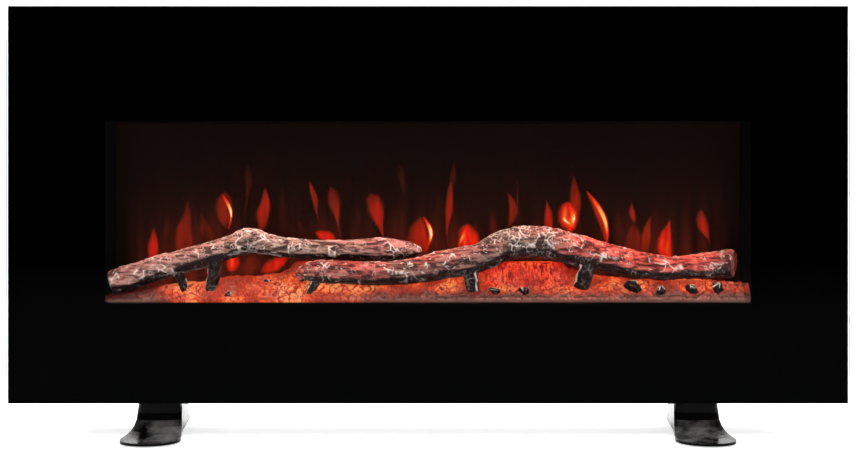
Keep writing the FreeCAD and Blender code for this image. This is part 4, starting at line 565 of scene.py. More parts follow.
def even_stations(stations, pitch):
    """The Catmull-Rom curve through the stations, taken again at even lengths along it."""
    fine = curve_through(stations_in_metres(stations), np.linspace(0, len(stations) - 1, 2000))
    length = np.concatenate([[0], np.cumsum(np.linalg.norm(np.diff(fine[:, :3], axis=0), axis=1))])
    even = np.linspace(0, length[-1], max(int(length[-1] / pitch), 8))
    return np.stack([np.interp(even, length, fine[:, k]) for k in range(4)], -1), even


def bark_tube(stations, pitch, around, knots, char_and_shade_below, blush_by, caps=(0.6, 0.6), slant=0.0, seed=0, sooty=0.0,
              webbed=0.4, peppered=0.3, ash_line=None):
    """Bark skin round a crooked path C(s) with radius r(s):
    P(s, a) = C(s) + (r(s) + h(s, a)) (up(s) cos a + side(s) sin a),
    where h adds long fibres, lumps, scaly plates and raised pale veins. Each end is closed by rings
    r cos f, pushed out by cap x r sin f, for f from 0 to 90 degrees. knots lists (share, reach,
    strength) of the places where the pale veins and flecks crowd; char_and_shade_below is the height, as a
    share of the radius, under which the bark is darkened, partly as burnt paint and partly as painted
    shade on the underside; blush_by lists (share, how pink the bark is).
    A stub has a line of ash down it at angle ash_line. A slanted end is sawn, with no burnt paint and no painted
    shade."""
    line, length = even_stations(stations, pitch)
    share = line[:, 0] / BOX_HW
    f = np.linspace(0, math.pi / 2, 9)[1:]
    count = len(f)
    first, last = line[0], line[-1]
    tangent = unit(np.gradient(line[:, :3], axis=0))
    fall = np.concatenate([np.cos(f)[::-1], np.ones(len(line)), np.cos(f)])
    push = np.concatenate([-caps[0] * first[3] * np.sin(f)[::-1], np.zeros(len(line)),
                           caps[1] * last[3] * np.sin(f)])
    line = np.concatenate([np.repeat(first[None], count, 0), line, np.repeat(last[None], count, 0)])
    tangent = np.concatenate([np.repeat(tangent[:1], count, 0), tangent, np.repeat(tangent[-1:], count, 0)])
    share = np.concatenate([np.repeat(share[0], count), share, np.repeat(share[-1], count)])
    length = np.concatenate([length[0] - caps[0] * first[3] * f[::-1], length,
                             length[-1] + caps[1] * last[3] * f])
    up = unit(np.array([0.0, 0.0, 1.0]) - tangent * tangent[:, 2:3])
    side = np.cross(tangent, up)
    angle = np.linspace(0, 2 * math.pi, around, endpoint=False)
    out = up[:, None] * np.cos(angle)[None, :, None] + side[:, None] * np.sin(angle)[None, :, None]
    radius = line[:, 3:4]
    core = line[:, None, :3] + tangent[:, None] * push[:, None, None]
    skin = core + out * (radius * fall[:, None])[:, :, None]
    along = np.broadcast_to(length[:, None], skin.shape[:2])

    # fibres run along the log: lengths along it are shrunk so the lumps come out long
    grain_place = np.stack([along * 0.13, skin[..., 1] + 0.12 * along, skin[..., 2]], -1)
    fibres = rough(grain_place, 0.0035, seed, 2)
    threads = rumple(grain_place * [1.6, 1, 1], 0.0018, seed + 40)
    grooves = 1 - ramp(np.abs(fibres - 0.5), 0.0, 0.045)
    lumps = rough(skin, 0.022, seed + 1, 2)
    scale_gap, scale_tone = plates(skin * [0.55, 1, 1], 0.0075, seed + 2)
    warp = (np.stack([rumple(skin, 0.012, seed + 3 + k) for k in range(3)], -1) - 0.5) * 0.009
    vein_gap, _ = plates((skin + warp) * [0.8, 1, 1], 0.0105, seed + 8)
    fleck_gap, fleck_tone = plates(skin + 0.5 * warp, 0.0042, seed + 12)
    crowd = np.zeros_like(share)
    for at, reach, strength in knots:
        crowd = np.maximum(crowd, strength * np.exp(-((share - at) / reach) ** 2))
    crowd = crowd[:, None]
    breaks = rough(skin, 0.011, seed + 17, 2)
    veins = (1 - ramp(vein_gap, 0.03, 0.11)) * ramp(breaks + webbed * crowd, 0.64, 0.74)
    flecks = (1 - ramp(fleck_gap, 0.05, 0.2)) * ramp(fleck_tone + peppered * crowd, 0.86, 0.97)
    veins = np.maximum(veins, 0.75 * flecks)
    if ash_line is not None:
        wander = 0.9 * (rumple(skin, 0.009, seed + 50) - 0.5)
        off = np.abs((angle[None, :] - ash_line + wander + math.pi) % (2 * math.pi) - math.pi)
        ash = (1 - ramp(off, 0.10, 0.28)) * ramp(rumple(skin, 0.006, seed + 51), 0.25, 0.4)
        veins = np.maximum(0.6 * veins, ash)
    height = np.cos(angle)[None, :] + 0.5 * (lumps - 0.5) + 0.25 * (fibres - 0.5)
    # below this height the underside is darkened: partly burnt paint, partly painted shade where the firebox light
    # falls off
    burnt_and_shaded = np.maximum(1 - ramp(height, char_and_shade_below - 0.12, char_and_shade_below + 0.10), sooty * ramp(lumps, 0.12, 0.3))
    if ash_line is not None:
        burnt_and_shaded = burnt_and_shaded * (1 - ash)
    relief = (0.0020 * (lumps - 0.5) + 0.0016 * (fibres - 0.5) + 0.0007 * ramp(scale_gap, 0.0, 0.25) - 0.0006
              + 0.0009 * veins)
    skin = skin + out * (relief * np.sqrt(fall)[:, None])[:, :, None]
    if slant:
        near_end = np.exp(-((length[-1] - length) / 0.012).clip(0))[:, None]
        skin[..., 0] += slant * near_end * (skin[..., 1] - line[:, 1:2] - radius)
    blush = np.interp(share, *np.array(blush_by, float).T)[:, None]
    blush = np.clip(blush + 0.9 * (rough(skin, 0.03, seed + 21, 2) - 0.5), 0, 1)
    if slant:
        sawn = (np.arange(len(length)) >= len(length) - count)[:, None]
        burnt_and_shaded = np.where(sawn, 0.0, burnt_and_shaded)
        veins = np.where(sawn, 0.5 * flecks, veins)
        blush = np.where(sawn, 1.0, blush)
    tone = (0.55 + 1.7 * (fibres - 0.5) + 1.4 * (threads - 0.5) + 0.5 * (scale_tone - 0.5)
            - 0.4 * grooves).clip(0, 1)
    return skin, {"vein": veins, "char_and_shade": burnt_and_shaded, "blush": blush, "tone": tone}


def stub_tubes(stubs, seed):
    """Broken-off branches from log to embers, burnt nearly all over."""
    made = []
    for i, (top, foot_end, ash_line) in enumerate(stubs):
        middle = tuple(0.5 * (a + b) for a, b in zip(top, foot_end))
        bent = (middle[0] + 0.004, middle[1], middle[2], 0.92 * middle[3])
        made.append(bark_tube([top, bent, foot_end], 0.0008, 72, [(bent[0], 0.05, 0.35)], -1.2,
                              [(-1, 0.4), (1, 0.6)], caps=(0.2, 0.35), seed=seed + 30 * i, sooty=1.0,
                              ash_line=ash_line))
    return made


def bark_nodes(tree, inputs):
    """Painted bark: greyish to pinkish brown, black-brown where burnt and on the undersides where painted shade is
    laid in, near-white on the raised veins.
    """
    place = object_place(tree)
    fine = noise(tree, place, 420.0, 4.0, 0.65)
    wood = blend_colour(tree, inputs["Blush"], inputs["Grey Bark"], inputs["Pink Bark"])
    shaded = calc(tree, "ADD", inputs["Fibre"], calc(tree, "MULTIPLY", fine, 0.7))
    groove = blend_colour(tree, 0.88, wood, (0.02, 0.005, 0.004, 1.0))
    wood = blend_colour(tree, between(tree, shaded, 0.45, 1.15), groove, wood)
    wood = blend_colour(tree, between(tree, shaded, 1.05, 1.5, 0.0, 0.25), wood, (0.6, 0.38, 0.32, 1.0))
    # near-black for burnt bark, and for the painted shade on the log undersides
    coal_and_shade = blend_colour(tree, between(tree, fine, 0.4, 0.7), (0.003, 0.0003, 0.0003, 1.0),
                        (0.014, 0.0015, 0.0012, 1.0))
    wood = blend_colour(tree, inputs["Char"], wood, coal_and_shade)
    pale = calc(tree, "MULTIPLY", inputs["Vein"], between(tree, inputs["Char"], 0.0, 1.0, 0.9, 0.3))
    wood = blend_colour(tree, pale, wood, (0.66, 0.56, 0.51, 1.0))
    gloss = between(tree, calc(tree, "ADD", inputs["Char"], fine), 0.2, 1.6, 0.72, 0.45)
    return wood, gloss, fine


BARK = group("Painted Bark", {"Vein": 0.0, "Char": 0.0, "Blush": 0.5, "Fibre": 0.5,
                              "Grey Bark": (0.3, 0.2, 0.17, 1.0), "Pink Bark": (0.42, 0.22, 0.18, 1.0)},
             ["Colour", "Gloss", "Height"], bark_nodes)


def mark(tree, name):
    return add(tree, "ShaderNodeAttribute", attribute_name=name).outputs["Fac"]


def bark(name, grey_bark, pink_bark):
    made, tree, shader = finish_of(name)
    skin = use(tree, BARK, Vein=mark(tree, "vein"), Char=mark(tree, "char_and_shade"), Blush=mark(tree, "blush"),
               Fibre=mark(tree, "tone"), Grey_Bark=grey_bark, Pink_Bark=pink_bark)
    feed(tree, shader, Base_Color=skin["Colour"], Roughness=skin["Gloss"])
    shader.inputs["Specular IOR Level"].default_value = 0.12
    bump(tree, shader, skin["Height"], 0.0006)
    return made


left_bark = bark("rose_grey_bark", (0.25, 0.165, 0.135, 1.0), (0.36, 0.14, 0.12, 1.0))
right_bark = bark("ash_grey_bark", (0.10, 0.071, 0.058, 1.0), (0.60, 0.075, 0.055, 1.0))

# the heights -0.36 and -0.34 set how far up each log's underside is darkened as burnt paint and painted shade
left = [bark_tube(LEFT_LOG, 0.0008, 120, [(-0.53, 0.10, 0.75), (-0.83, 0.05, 0.3), (-0.1, 0.08, 0.35)], -0.36,
                  [(-1, 0.9), (-0.85, 0.7), (-0.6, 0.4), (-0.5, 0.0), (-0.35, 0.15), (-0.2, 0.8), (0, 0.6)],
                  caps=(0.25, 0.8), seed=3, webbed=0.4, peppered=0.25)] + stub_tubes(LEFT_STUBS, 100)
right = [bark_tube(RIGHT_LOG, 0.0009, 118, [(0.32, 0.13, 0.9), (0.93, 0.06, 0.5), (-0.34, 0.06, 0.5), (0.1, 0.1, 0.3)],
                   -0.34, [(-0.4, 0.5), (-0.1, 0.3), (0.1, 0.35), (0.2, 0.0), (0.35, 0.1), (0.48, 0.8), (0.6, 1.0),
                           (0.8, 0.7), (0.93, 0.5), (1.0, 1.0)],
                   caps=(0.5, 0.05), slant=0.55, seed=11, webbed=0.12, peppered=0.3)] + stub_tubes(RIGHT_STUBS, 200)
piece("left_crooked_log", left, "left_log", left_bark, MARKS)
piece("right_crooked_log", right, "right_log", right_bark, MARKS)

# ---------------------------------------------------------------- charred lumps
# share of the half-width, place between glass and screen, size in millimetres, turn in degrees and
# how far the middle stands out of the bed, as a share of the size
CHUNKS = [(-0.62, 0.16, 9.0, 35.0, -0.42), (-0.50, 0.42, 9.0, 10.0, -0.42), (0.205, 0.16, 10.0, 30.0, 0.1),
          (0.30, 0.16, 10.0, 12.0, 0.1), (0.635, 0.22, 16.0, -5.0, 0.1), (0.72, 0.17, 10.0, 25.0, 0.1),
          (0.815, 0.20, 13.0, -30.0, 0.1), (0.90, 0.20, 13.0, 12.0, 0.1)]


def bed_slope(y):
    """Height of the resin slope above its tray at depth y: up over the front shoulder, then to the crest."""
    y0, y1 = IN_Y0 + 0.001, SCREEN_Y0 - 0.0005
    return np.interp(y, [y0, y0 + 0.004, y0 + 0.014, y1 - 0.009, y1], np.array([9.0, 14.0, 27.0, 48.0, 44.0]) * MM)


def broken_lump(share, place, size, turn, proud, seed):
    """Broken lump of charcoal: a ball whose radius is cut down to flat faces,
    R(u, v) = min over the face directions of reach / (direction . face), with ash on the edges
    where the two lowest values meet."""
    v = np.linspace(0.02, math.pi - 0.02, 44)[:, None]
    u = np.linspace(0, 2 * math.pi, 64, endpoint=False)[None, :]
    way = np.stack([np.sin(v) * np.cos(u), np.sin(v) * np.sin(u), np.cos(v) + 0 * u], -1)
    faces = unit(np.stack([share_at(np.arange(14)[:, None] * [1.0, 0, 0], seed + k) - 0.5 for k in range(3)], -1))
    faces = np.concatenate([faces, [[0, 0, 1]]])
    reach = 0.55 + 0.45 * share_at(np.arange(15)[:, None] * [1.0, 0, 0], seed + 5)
    facing = np.einsum("ijk,lk->ijl", way, faces)
    cuts = np.sort(np.where(facing > 0.2, reach / np.maximum(facing, 0.2), 9.0), -1)
    radius = cuts[..., 0].clip(0.4, 1.2)
    veins = (1 - ramp(cuts[..., 1] - cuts[..., 0], 0.02, 0.09)) * ramp(rough(way, 0.5, seed + 11, 2), 0.42, 0.5)
    veins = veins * ramp(way[..., 2], -0.1, 0.35)
    radius = radius + 0.05 * veins + 0.10 * (rough(way, 0.4, seed + 12, 3) - 0.5)
    size = size * MM
    lump = way * radius[..., None] * np.array([0.72, 0.5, 0.62]) * size
    c, s = math.cos(math.radians(turn)), math.sin(math.radians(turn))
    lump = np.stack([c * lump[..., 0] - s * lump[..., 1], s * lump[..., 0] + c * lump[..., 1], lump[..., 2]], -1)
    y = depth_at(place)
    centre = np.array([share * BOX_HW, y, FLOOR_Z + bed_slope(y) + proud * size])
    shade = np.ones_like(veins)
    return lump + centre, {"vein": veins, "char_and_shade": 1 - veins, "blush": 0.5 * shade, "tone": 0.6 * shade}


lumps = [broken_lump(*chunk, 40.0 + 17 * i) for i, chunk in enumerate(CHUNKS)]
piece("charred_lumps", lumps, "charred_chunks", bark("charcoal_with_ash_edges", (0.05, 0.035, 0.03, 1.0),
                                                           (0.09, 0.04, 0.03, 1.0)), MARKS)

# ---------------------------------------------------------------- ember bed
# share of the half-width, and the height of the bed's crest above the tray in millimetres
CREST = [(-1.0, 15), (-0.9, 18), (-0.87, 24), (-0.78, 27), (-0.7, 31), (-0.63, 37), (-0.52, 38), (-0.455, 44),
         (-0.415, 53), (-0.36, 52), (-0.2, 48), (0.0, 45), (0.15, 46), (0.2, 54), (0.26, 57), (0.36, 57), (0.43, 54),
         (0.48, 42), (0.56, 37), (0.7, 33), (0.85, 32), (1.0, 28)]
# share of the half-width, how strongly the slope glows, and how ashy its front edge is
GLOW = [(-1.0, 0.0, 0.9), (-0.88, 0.06, 0.9), (-0.80, 0.66, 0.25), (-0.7, 0.92, 0.0), (-0.4, 0.92, 0.05),
        (-0.28, 0.92, 0.3), (-0.1, 0.9, 0.65), (0.1, 0.86, 0.75), (0.22, 0.86, 0.8), (0.42, 0.84, 0.65), (0.5, 0.78, 0.55),
        (0.62, 0.78, 0.65), (0.8, 0.8, 0.7), (0.93, 0.6, 0.8), (1.0, 0.25, 0.9)]


def bed_surface():
    """Ember bed as one closed profile carried along x. Its top is
    z(x, y) = min(slope(y), crest(x)) + plates(x, y) + lumps(x, y), and it is closed by the back,
    the underside and the front lip."""
    x = np.linspace(BED[0].x + 0.0003, BED[1].x - 0.0003, 980)
    y0, y1 = BED[0].y + 0.0012, BED[1].y - 0.0012
    y = np.concatenate([np.full(5, y0), np.linspace(y0, y1, 74)[1:], np.full(4, y1), [y0 * 0.4 + y1 * 0.6]])
    under = FLOOR_Z + 0.0004
    front, back = np.linspace(0.02, 1, 5), np.linspace(1, 0.02, 5)[1:]
    share = x / BOX_HW
    crest = np.interp(share, *np.array(CREST, float).T) * MM
    crest = np.convolve(np.pad(crest, 12, mode="edge"), np.ones(25) / 25, "valid")
    into = (y[4:-5] - y0) / (y1 - y0)
    slope = bed_slope(y[4:-5])
    mound = ramp(crest, 0.048, 0.054)[:, None] * ramp(into, 0.3, 0.45)[None, :] * ramp(share, 0.12, 0.18)[:, None]
    top = np.minimum(slope[None, :], crest[:, None]) * (1 - mound) + crest[:, None] * mound
    left_hump = ramp(crest, 0.046, 0.053) * (1 - ramp(share, -0.3, -0.1))
    top = top + left_hump[:, None] * 0.012 * ramp(into, 0.35, 0.6)[None, :] * (top < crest[:, None] - 0.002)
    grid = np.stack(np.broadcast_arrays(x[:, None], y[None, 4:-5], top), -1)
    warp = (np.stack([rough(grid, 0.011, 60 + k, 2) for k in range(3)], -1) - 0.5) * 0.016
    gap, tone = plates((grid + warp) * [0.8, 1.0, 1.0], 0.0085, 63)
    small_gap, small_tone = plates(grid + warp, 0.0038, 70)
    lumps_here = rough(grid, 0.016, 77, 3)
    rim = ramp(into, 0.0, 0.10)[None, :]
    rise = (0.0075 * (lumps_here - 0.5) + 0.0020 * ramp(gap, 0.0, 0.3) * tone
            + 0.0010 * ramp(small_gap, 0, 0.25) * small_tone - 0.0012)
    rise = rise * (0.2 + 0.8 * rim)
    z_top = np.clip(FLOOR_Z + top + rise, under + 0.003, BED[1].z - 0.0002)
    z = np.concatenate([under + (z_top[:, :1] - under) * front[None, :], z_top[:, 1:],
                        under + (z_top[:, -1:] - under) * back[None, :], np.full((len(x), 1), under)], 1)
    rings = np.stack(np.broadcast_arrays(x[:, None], y[None, :], z), -1)
    rings[:, :5, 1] += 0.0012 * (rough(rings[:, :5] * [1, 1, 1], 0.006, 90, 2) - 0.5)

    def spread(values, ahead, behind):
        edge = np.broadcast_to(ahead, (len(x), 4))
        return np.concatenate([edge, values, np.broadcast_to(behind, (len(x), 5))], 1)

    strength = np.interp(share, *np.array(GLOW)[:, :2].T)[:, None]
    ashy = np.interp(share, *np.array(GLOW)[:, [0, 2]].T)[:, None]
    seam = np.exp(-((into - 0.045) / 0.02) ** 2)[None, :] * ramp(share, -0.3, 0.0)[:, None]
    seam = seam * ramp(rough(grid, 0.02, 88, 2), 0.38, 0.5)
    cracks = np.maximum(1 - ramp(gap, 0.02, 0.14), seam)
    fine_cracks = 1 - ramp(small_gap, 0.03, 0.2)
    patch = rough(grid, 0.03, 95, 3)
    glow = strength * (0.45 + 0.9 * ramp(patch, 0.3, 0.7)) * (1 - 0.75 * cracks * ramp(patch, 0.35, 0.6))
    glow = glow * (1 - 0.35 * fine_cracks)
    glow = glow * (1 - ashy * (1 - ramp(into, 0.05, 0.2))[None, :] * 0.85) * (1 - 0.8 * seam)
    ash = np.clip(0.12 + 1.3 * (rough(grid, 0.012, 99, 3) - 0.5) + 0.3 * small_tone, 0, 1) * (1 - 0.9 * mound)
    ash = ash * ramp(share, -0.97, -0.8)[:, None]
    lip = ashy * (1 - ramp(into, 0.03, 0.16))[None, :] * ramp(share, -0.93, -0.84)[:, None]
    ash = np.clip(ash + lip, 0, 1)
    red = 1.4 * ramp(crest, 0.048, 0.054)[:, None] * ramp(into, 0.15, 0.35) * ramp(share, 0.12, 0.18)[:, None]
    red = (red + 0.8 * ramp(into, 0.55, 0.9)).clip(0, 1)
    values = {"glow": spread(glow, glow[:, 4:5] * (1 - 0.7 * ashy), 0.0), "ash": spread(ash, ashy, 0.5),
              "red": spread(red, 0.0, 0.5), "crack": spread(np.maximum(cracks, 0.6 * fine_cracks), 0.3, 0.5)}
    return rings, values


def ember_nodes(tree, inputs):
    """Crackled resin over light: deep red in the cracks, orange then pale orange where it glows,
    grey-pink where ash lies on it."""
    fine = noise(tree, object_place(tree), 520.0, 4.0, 0.65)
    heat = calc(tree, "MULTIPLY", inputs["Glow"], between(tree, fine, 0.3, 0.7, 0.55, 1.3))
    orange = ramp_colours(tree, heat, [(0.0, (0.004, 0.001, 0.001)), (0.22, (0.16, 0.012, 0.006)),
                                       (0.45, (0.62, 0.045, 0.012)), (0.7, (0.93, 0.16, 0.045)), (1.0, (1.0, 0.36, 0.12))])
    scarlet = ramp_colours(tree, heat, [(0.0, (0.003, 0.001, 0.001)), (0.3, (0.24, 0.004, 0.003)),
                                        (0.6, (0.75, 0.02, 0.006)), (1.0, (1.0, 0.13, 0.03))])
    light = blend_colour(tree, inputs["Red"], orange, scarlet)
    dim = calc(tree, "SUBTRACT", 1.0, calc(tree, "MULTIPLY", inputs["Ash"], 0.62), clamp=True)
    light = blend_colour(tree, dim, (0.0, 0.0, 0.0, 1.0), light)
    skin = blend_colour(tree, inputs["Ash"], (0.05, 0.006, 0.003, 1.0), (0.22, 0.10, 0.08, 1.0))
    skin = blend_colour(tree, calc(tree, "MULTIPLY", inputs["Crack"], 0.85), skin, (0.012, 0.006, 0.005, 1.0))
    gloss = between(tree, fine, 0.3, 0.7, 0.45, 0.7)
    return skin, light, gloss, fine


EMBER = group("Ember Glow", {"Glow": 0.5, "Ash": 0.3, "Red": 0.0, "Crack": 0.0},
              ["Skin Colour", "Light Colour", "Gloss", "Height"], ember_nodes)


def ember_finish():
    made, tree, shader = finish_of("crackled_ember_resin")
    glow = use(tree, EMBER, Glow=mark(tree, "glow"), Ash=mark(tree, "ash"), Red=mark(tree, "red"),
               Crack=mark(tree, "crack"))
    feed(tree, shader, Base_Color=glow["Skin Colour"], Emission_Color=glow["Light Colour"], Roughness=glow["Gloss"])
    shader.inputs["Emission Strength"].default_value = 1.0
    shader.inputs["Specular IOR Level"].default_value = 0.1
    bump(tree, shader, glow["Height"], 0.0005)
    return made


piece("crackled_ember_bed", [bed_surface()], "ember_bed", ember_finish(), ("glow", "ash", "red", "crack"))

# ---------------------------------------------------------------- flame screen
# Each flame in millimetres: how far right of the middle its foot is, how high its foot is above the
# tray, its height and its half-width, then where it is widest as a share of its height, how far its
# tip leans and its middle bends to the right, and its heat from 0 to 1.
FLAMES = [
    (-364, 50, 50, 7, 0.5, 3, 0, 0.60), (-346, 75, 45, 6, 0.5, 4, 0, 0.20),
    (-325, 50, 88, 12, 0.4, 9, 0, 0.34), (-284, 75, 47, 9, 0.35, -13, -2, 0.24),
    (-268, 98, 50, 11, 0.55, 1, -2, 0.38), (-240, 105, 78, 5, 0.8, 4, 0, 0.22),
    (-226, 92, 61, 8, 0.5, 10, 6, 0.50), (-192, 80, 75, 10, 0.25, 0, 2, 0.16),
    (-166, 82, 34, 4, 0.4, -5, 0, 0.20), (-142, 112, 49, 3.5, 0.6, -12, 0, 0.42),
    (-120, 84, 12, 8, 0.5, -28, 0, 0.60), (-113, 84, 70, 9, 0.78, -14, 0, 0.36),
    (-104, 110, 65, 7, 0.3, -5, 0, 0.09), (-92, 85, 52, 6, 0.4, -2, 2, 0.14),
    (-56, 80, 66, 10, 0.75, -19, 0, 0.46), (-27, 128, 55, 6, 0.72, -11, 0, 0.16),
    (-12, 62, 54, 15, 0.4, 4, -2, 0.46), (12, 95, 60, 8, 0.3, 0, 3, 0.12),
    (24, 78, 85, 5.5, 0.7, 7, -1, 0.46), (32, 150, 40, 5, 0.4, 4, 0, 0.20),
    (52, 68, 36, 13, 0.45, 1, 0, 0.72), (66, 78, 32, 4, 0.4, -5, 0, 0.20),
    (88, 75, 48, 8, 0.4, -6, 0, 0.22), (103, 98, 50, 5.5, 0.55, 2, 9, 0.38),
    (160, 88, 48, 6, 0.4, -3, 0, 0.45), (188, 95, 40, 12, 0.5, -4, -1, 0.93),
    (195, 110, 60, 7, 0.35, -2, 0, 0.45), (192, 150, 45, 4, 0.3, -2, 0, 0.12),
    (234, 75, 70, 6, 0.5, -24, 8, 0.50), (250, 75, 50, 9, 0.35, 0, 0, 0.20),
    (273, 105, 28, 3.5, 0.45, -3, -2, 0.42), (270, 60, 48, 15, 0.35, 0, 0, 0.34),
    (284, 60, 56, 7, 0.4, 8, 0, 0.42), (314, 48, 62, 9.5, 0.35, 3, -4, 0.68),
    (342, 78, 32, 6, 0.4, 3, 0, 0.12), (372, 78, 45, 7.5, 0.65, -12, -2, 0.46),
    (386, 138, 22, 1, 0.5, 1, 0, 0.12), (-258, 45, 16, 9, 0.5, 4, 0, 0.62),
    (-240, 42, 22, 14, 0.5, 12, 0, 0.30), (-222, 45, 15, 9, 0.5, 38, 0, 0.66),
]
# bright edges of flames, in the same form
EDGES = [
    (-263, 100, 43, 2.6, 0.7, -7, 7, 1.0), (-2, 73, 42, 3, 0.6, -4, 8, 1.0),
    (40, 75, 26, 2.2, 0.4, 10, 0, 0.9), (117, 112, 52, 0.9, 0.4, 0, 1, 0.3),
    (175, 118, -16, 2, 0.5, 17, -2, 1.0), (191, 101, 24, 1.6, 0.3, 5, -1, 1.0),
    (236, 78, 70, 3.6, 0.6, -26, 9, 0.95),
]


def tongue(across, foot, height, half_width, belly, lean, bend, heat):
    """Chain of round spots up one flame, for t from 0 at its foot to 1 at its tip. A spot lies
    lean t + bend sin(pi t) to the right of the foot, its radius is half_width sin(pi t^s)^0.8, where
    s = log 0.5 / log belly puts the widest spot at t = belly, and its heat is heat (0.6 + 0.4 sin(pi t))."""
    t = np.linspace(0, 1, 8)
    arch = np.sin(math.pi * t)
    swell = np.sin(math.pi * t ** (math.log(0.5) / math.log(belly))).clip(0) ** 0.8
    return np.stack([across + lean * t + bend * arch, foot + height * t, (half_width * swell).clip(0.8),
                     heat * (0.6 + 0.4 * arch)], -1)


def chain_heat(x, z, chain, soft):
    """Heat of one flame over the screen: at each place the nearest spot along its chain gives a
    radius r and a heat q, and the heat there is q times 1 - ramp(distance / r, 1 - soft, 1 + soft)."""
    heat = np.zeros_like(x)
    for (xa, za, ra, qa), (xb, zb, rb, qb) in zip(chain, chain[1:]):
        dx, dz = xb - xa, zb - za
        t = np.clip(((x - xa) * dx + (z - za) * dz) / (dx * dx + dz * dz), 0, 1)
        away = np.hypot(x - xa - t * dx, z - za - t * dz)
        heat = np.maximum(heat, (qa + t * (qb - qa)) * (1 - ramp(away / (ra + t * (rb - ra)), 1 - soft, 1 + soft)))
    return heat


def flame_surface():
    """Smoked screen as one closed flat profile carried along x, with the flames' heat on its front."""
    low, high = SCREEN
    x = np.linspace(low.x + 0.0003, high.x - 0.0003, 620)
    front_z = np.linspace(low.z + 0.0003, high.z - 0.0003, 150)
    y0, y1 = low.y + 0.0002, high.y - 0.0002
    z = np.concatenate([front_z, [high.z - 0.0003, low.z + 0.0003]])
    y = np.concatenate([np.full(150, y0), [y1, y1]])
    rings = np.stack(np.broadcast_arrays(x[:, None], y[None, :], z[None, :]), -1)
    across, above = x[:, None] / MM + 0 * front_z[None, :], (front_z[None, :] - FLOOR_Z) / MM + 0 * x[:, None]
    flat = np.stack([across * MM, 0 * across, above * MM], -1)
    sway = (np.stack([rumple(flat, 0.02, s) for s in (31, 32)], 0) - 0.5) * 5.0
    heat = np.zeros_like(across)
    for flame in FLAMES:
        heat = np.maximum(heat, chain_heat(across + sway[0], above + sway[1], tongue(*flame), 0.6))
    streaks = rough(np.stack([across * MM, 0 * across, above * MM * 0.12], -1), 0.011, 35, 3)
    wisps = rough(np.stack([across * MM + 0.004 * sway[0] * MM, 0 * across, above * MM * 0.2], -1), 0.006, 36, 2)
    heat = heat * (0.55 + 0.4 * streaks + 0.5 * wisps)
    for edge in EDGES:
        heat = np.maximum(heat, chain_heat(across, above, tongue(*edge), 0.45))
    haze = 0.2 * np.exp(-((above - 60) / 75).clip(0) ** 1.5) * (0.35 + 1.3 * streaks)
    ends = ramp(across, -404, -375) * (1 - ramp(across, 375, 404))
    heat = np.maximum(heat, haze * ends)
    marks = {"flame_heat": np.concatenate([heat, np.zeros((len(x), 2))], 1)}
    return rings, marks


def flame_nodes(tree, inputs):
    """Light through the smoked screen: black-brown, dull red, scarlet, orange and pale yellow by heat,
    over faint upright streaks."""
    streaks = noise(tree, object_place(tree, (1.0, 1.0, 0.08)), 160.0, 3.0, 0.6)
    tint = ramp_colours(tree, inputs["Heat"], [
        (0.0, (0.0025, 0.0008, 0.0004)), (0.1, (0.014, 0.0022, 0.001)), (0.22, (0.052, 0.006, 0.0025)),
        (0.38, (0.20, 0.012, 0.0035)), (0.52, (0.44, 0.011, 0.0035)), (0.68, (0.74, 0.013, 0.004)),
        (0.84, (0.94, 0.11, 0.015)), (0.93, (1.0, 0.48, 0.12)), (1.0, (1.0, 0.86, 0.45))])
    shade = blend_colour(tree, between(tree, streaks, 0.3, 0.7), grey(0.72), grey(1.15))
    return blend_colour(tree, 1.0, tint, shade, "MULTIPLY"), streaks


FLAME = group("Flame Light", {"Heat": 0.0}, ["Light Colour", "Height"], flame_nodes)


def screen_finish():
    made, tree, shader = finish_of("smoked_flame_screen")
    light = use(tree, FLAME, Heat=mark(tree, "flame_heat"))
    skin = use(tree, GRAIN, Grain=1400.0, Patches=9.0)
    shade = blend_colour(tree, skin["Patch"], (0.0008, 0.0005, 0.0004, 1.0), (0.002, 0.001, 0.0008, 1.0))
    feed(tree, shader, Base_Color=shade, Emission_Color=light["Light Colour"],
         Roughness=between(tree, skin["Tone"], 0, 1, 0.6, 0.75))
    shader.inputs["Emission Strength"].default_value = 1.0
    shader.inputs["Specular IOR Level"].default_value = 0.03
    bump(tree, shader, skin["Height"], 0.00003)
    return made


piece("lit_flame_screen", [flame_surface()], "flame_screen", screen_finish(), ("flame_heat",))


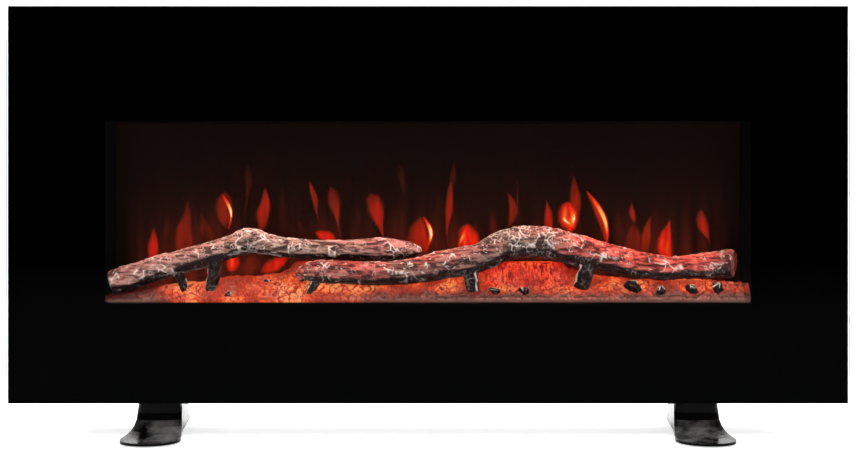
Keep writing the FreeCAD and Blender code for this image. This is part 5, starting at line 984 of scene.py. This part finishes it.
# ---------------------------------------------------------------- studio
def studio_sweep():
    """Pale floor that rises into a backdrop: a profile along x, flat to its bend and then a quarter circle."""
    bend = np.linspace(0, math.pi / 2, 24)
    curve = [(3.0 + 1.6 * math.sin(a), 1.6 * (1 - math.cos(a))) for a in bend]
    profile = [(-7.0, 0.0)] + curve + [(4.6, 6.0)]
    points = [(x, y, z - 0.0002) for x in (-8.0, 8.0) for y, z in profile]
    count = len(profile)
    faces = [(i, i + count, i + count + 1, i + 1) for i in range(count - 1)]
    mesh = bpy.data.meshes.new("studio_sweep")
    mesh.from_pydata(points, [], faces)
    mesh.polygons.foreach_set("use_smooth", np.full(len(faces), True))
    made, tree, shader = finish_of("pale_floor_paper")
    skin = use(tree, GRAIN, Grain=300.0, Patches=2.0)
    feed(tree, shader, Base_Color=blend_colour(tree, skin["Patch"], (0.88, 0.88, 0.88, 1.0), (0.90, 0.90, 0.90, 1.0)))
    shader.inputs["Roughness"].default_value = 0.9
    shader.inputs["Specular IOR Level"].default_value = 0.1
    shader.inputs["Emission Color"].default_value = (1.0, 1.0, 1.0, 1.0)
    shader.inputs["Emission Strength"].default_value = 0.6
    mesh.materials.append(made)
    sweep = bpy.data.objects.new("studio_sweep", mesh)
    bpy.context.scene.collection.objects.link(sweep)


def soft_light(name, at, towards, size, power, tint=(1.0, 1.0, 1.0), spread=180.0):
    lamp = bpy.data.lights.new(name, "AREA")
    lamp.shape, lamp.size, lamp.size_y = "RECTANGLE", size[0], size[1]
    lamp.energy, lamp.color, lamp.spread = power, tint, math.radians(spread)
    made = bpy.data.objects.new(name, lamp)
    bpy.context.scene.collection.objects.link(made)
    made.location = at
    way = np.array(towards, float) - np.array(at, float)
    made.rotation_euler = (math.acos(-way[2] / np.linalg.norm(way)), 0.0, math.atan2(way[0], -way[1]) + math.pi)
    made.visible_camera = False
    return made


studio_sweep()
world = bpy.data.worlds.new("soft_surround")
world.use_nodes = True
world.node_tree.nodes["Background"].inputs[0].default_value = (1.0, 1.0, 1.0, 1.0)
world.node_tree.nodes["Background"].inputs[1].default_value = 0.3
bpy.context.scene.world = world
soft_light("overhead", (0.0, 0.1, 2.8), (0.0, 0.1, 0.0), (6.0, 5.0), 340.0)
soft_light("backdrop_wash", (0.0, 1.5, 3.2), (0.0, 4.6, 1.2), (6.0, 1.5), 260.0)
inside = soft_light("firebox_strip", (0.0, -0.036, 0.385), (0.0, -0.020, 0.20), (0.78, 0.010), 0.5,
                    (1.0, 0.56, 0.46), 60.0)
inside.visible_glossy = False
inside.visible_transmission = False

camera_data = bpy.data.cameras.new("front_view")
camera_data.lens = 50.0
camera_data.sensor_width = 36.0
camera = bpy.data.objects.new("front_view", camera_data)
bpy.context.scene.collection.objects.link(camera)
camera.location = (0.0, -1.549, 0.263)
camera.rotation_euler = (math.pi / 2, 0.0, 0.0)
bpy.context.scene.camera = camera
bpy.context.scene.view_settings.view_transform = "Standard"
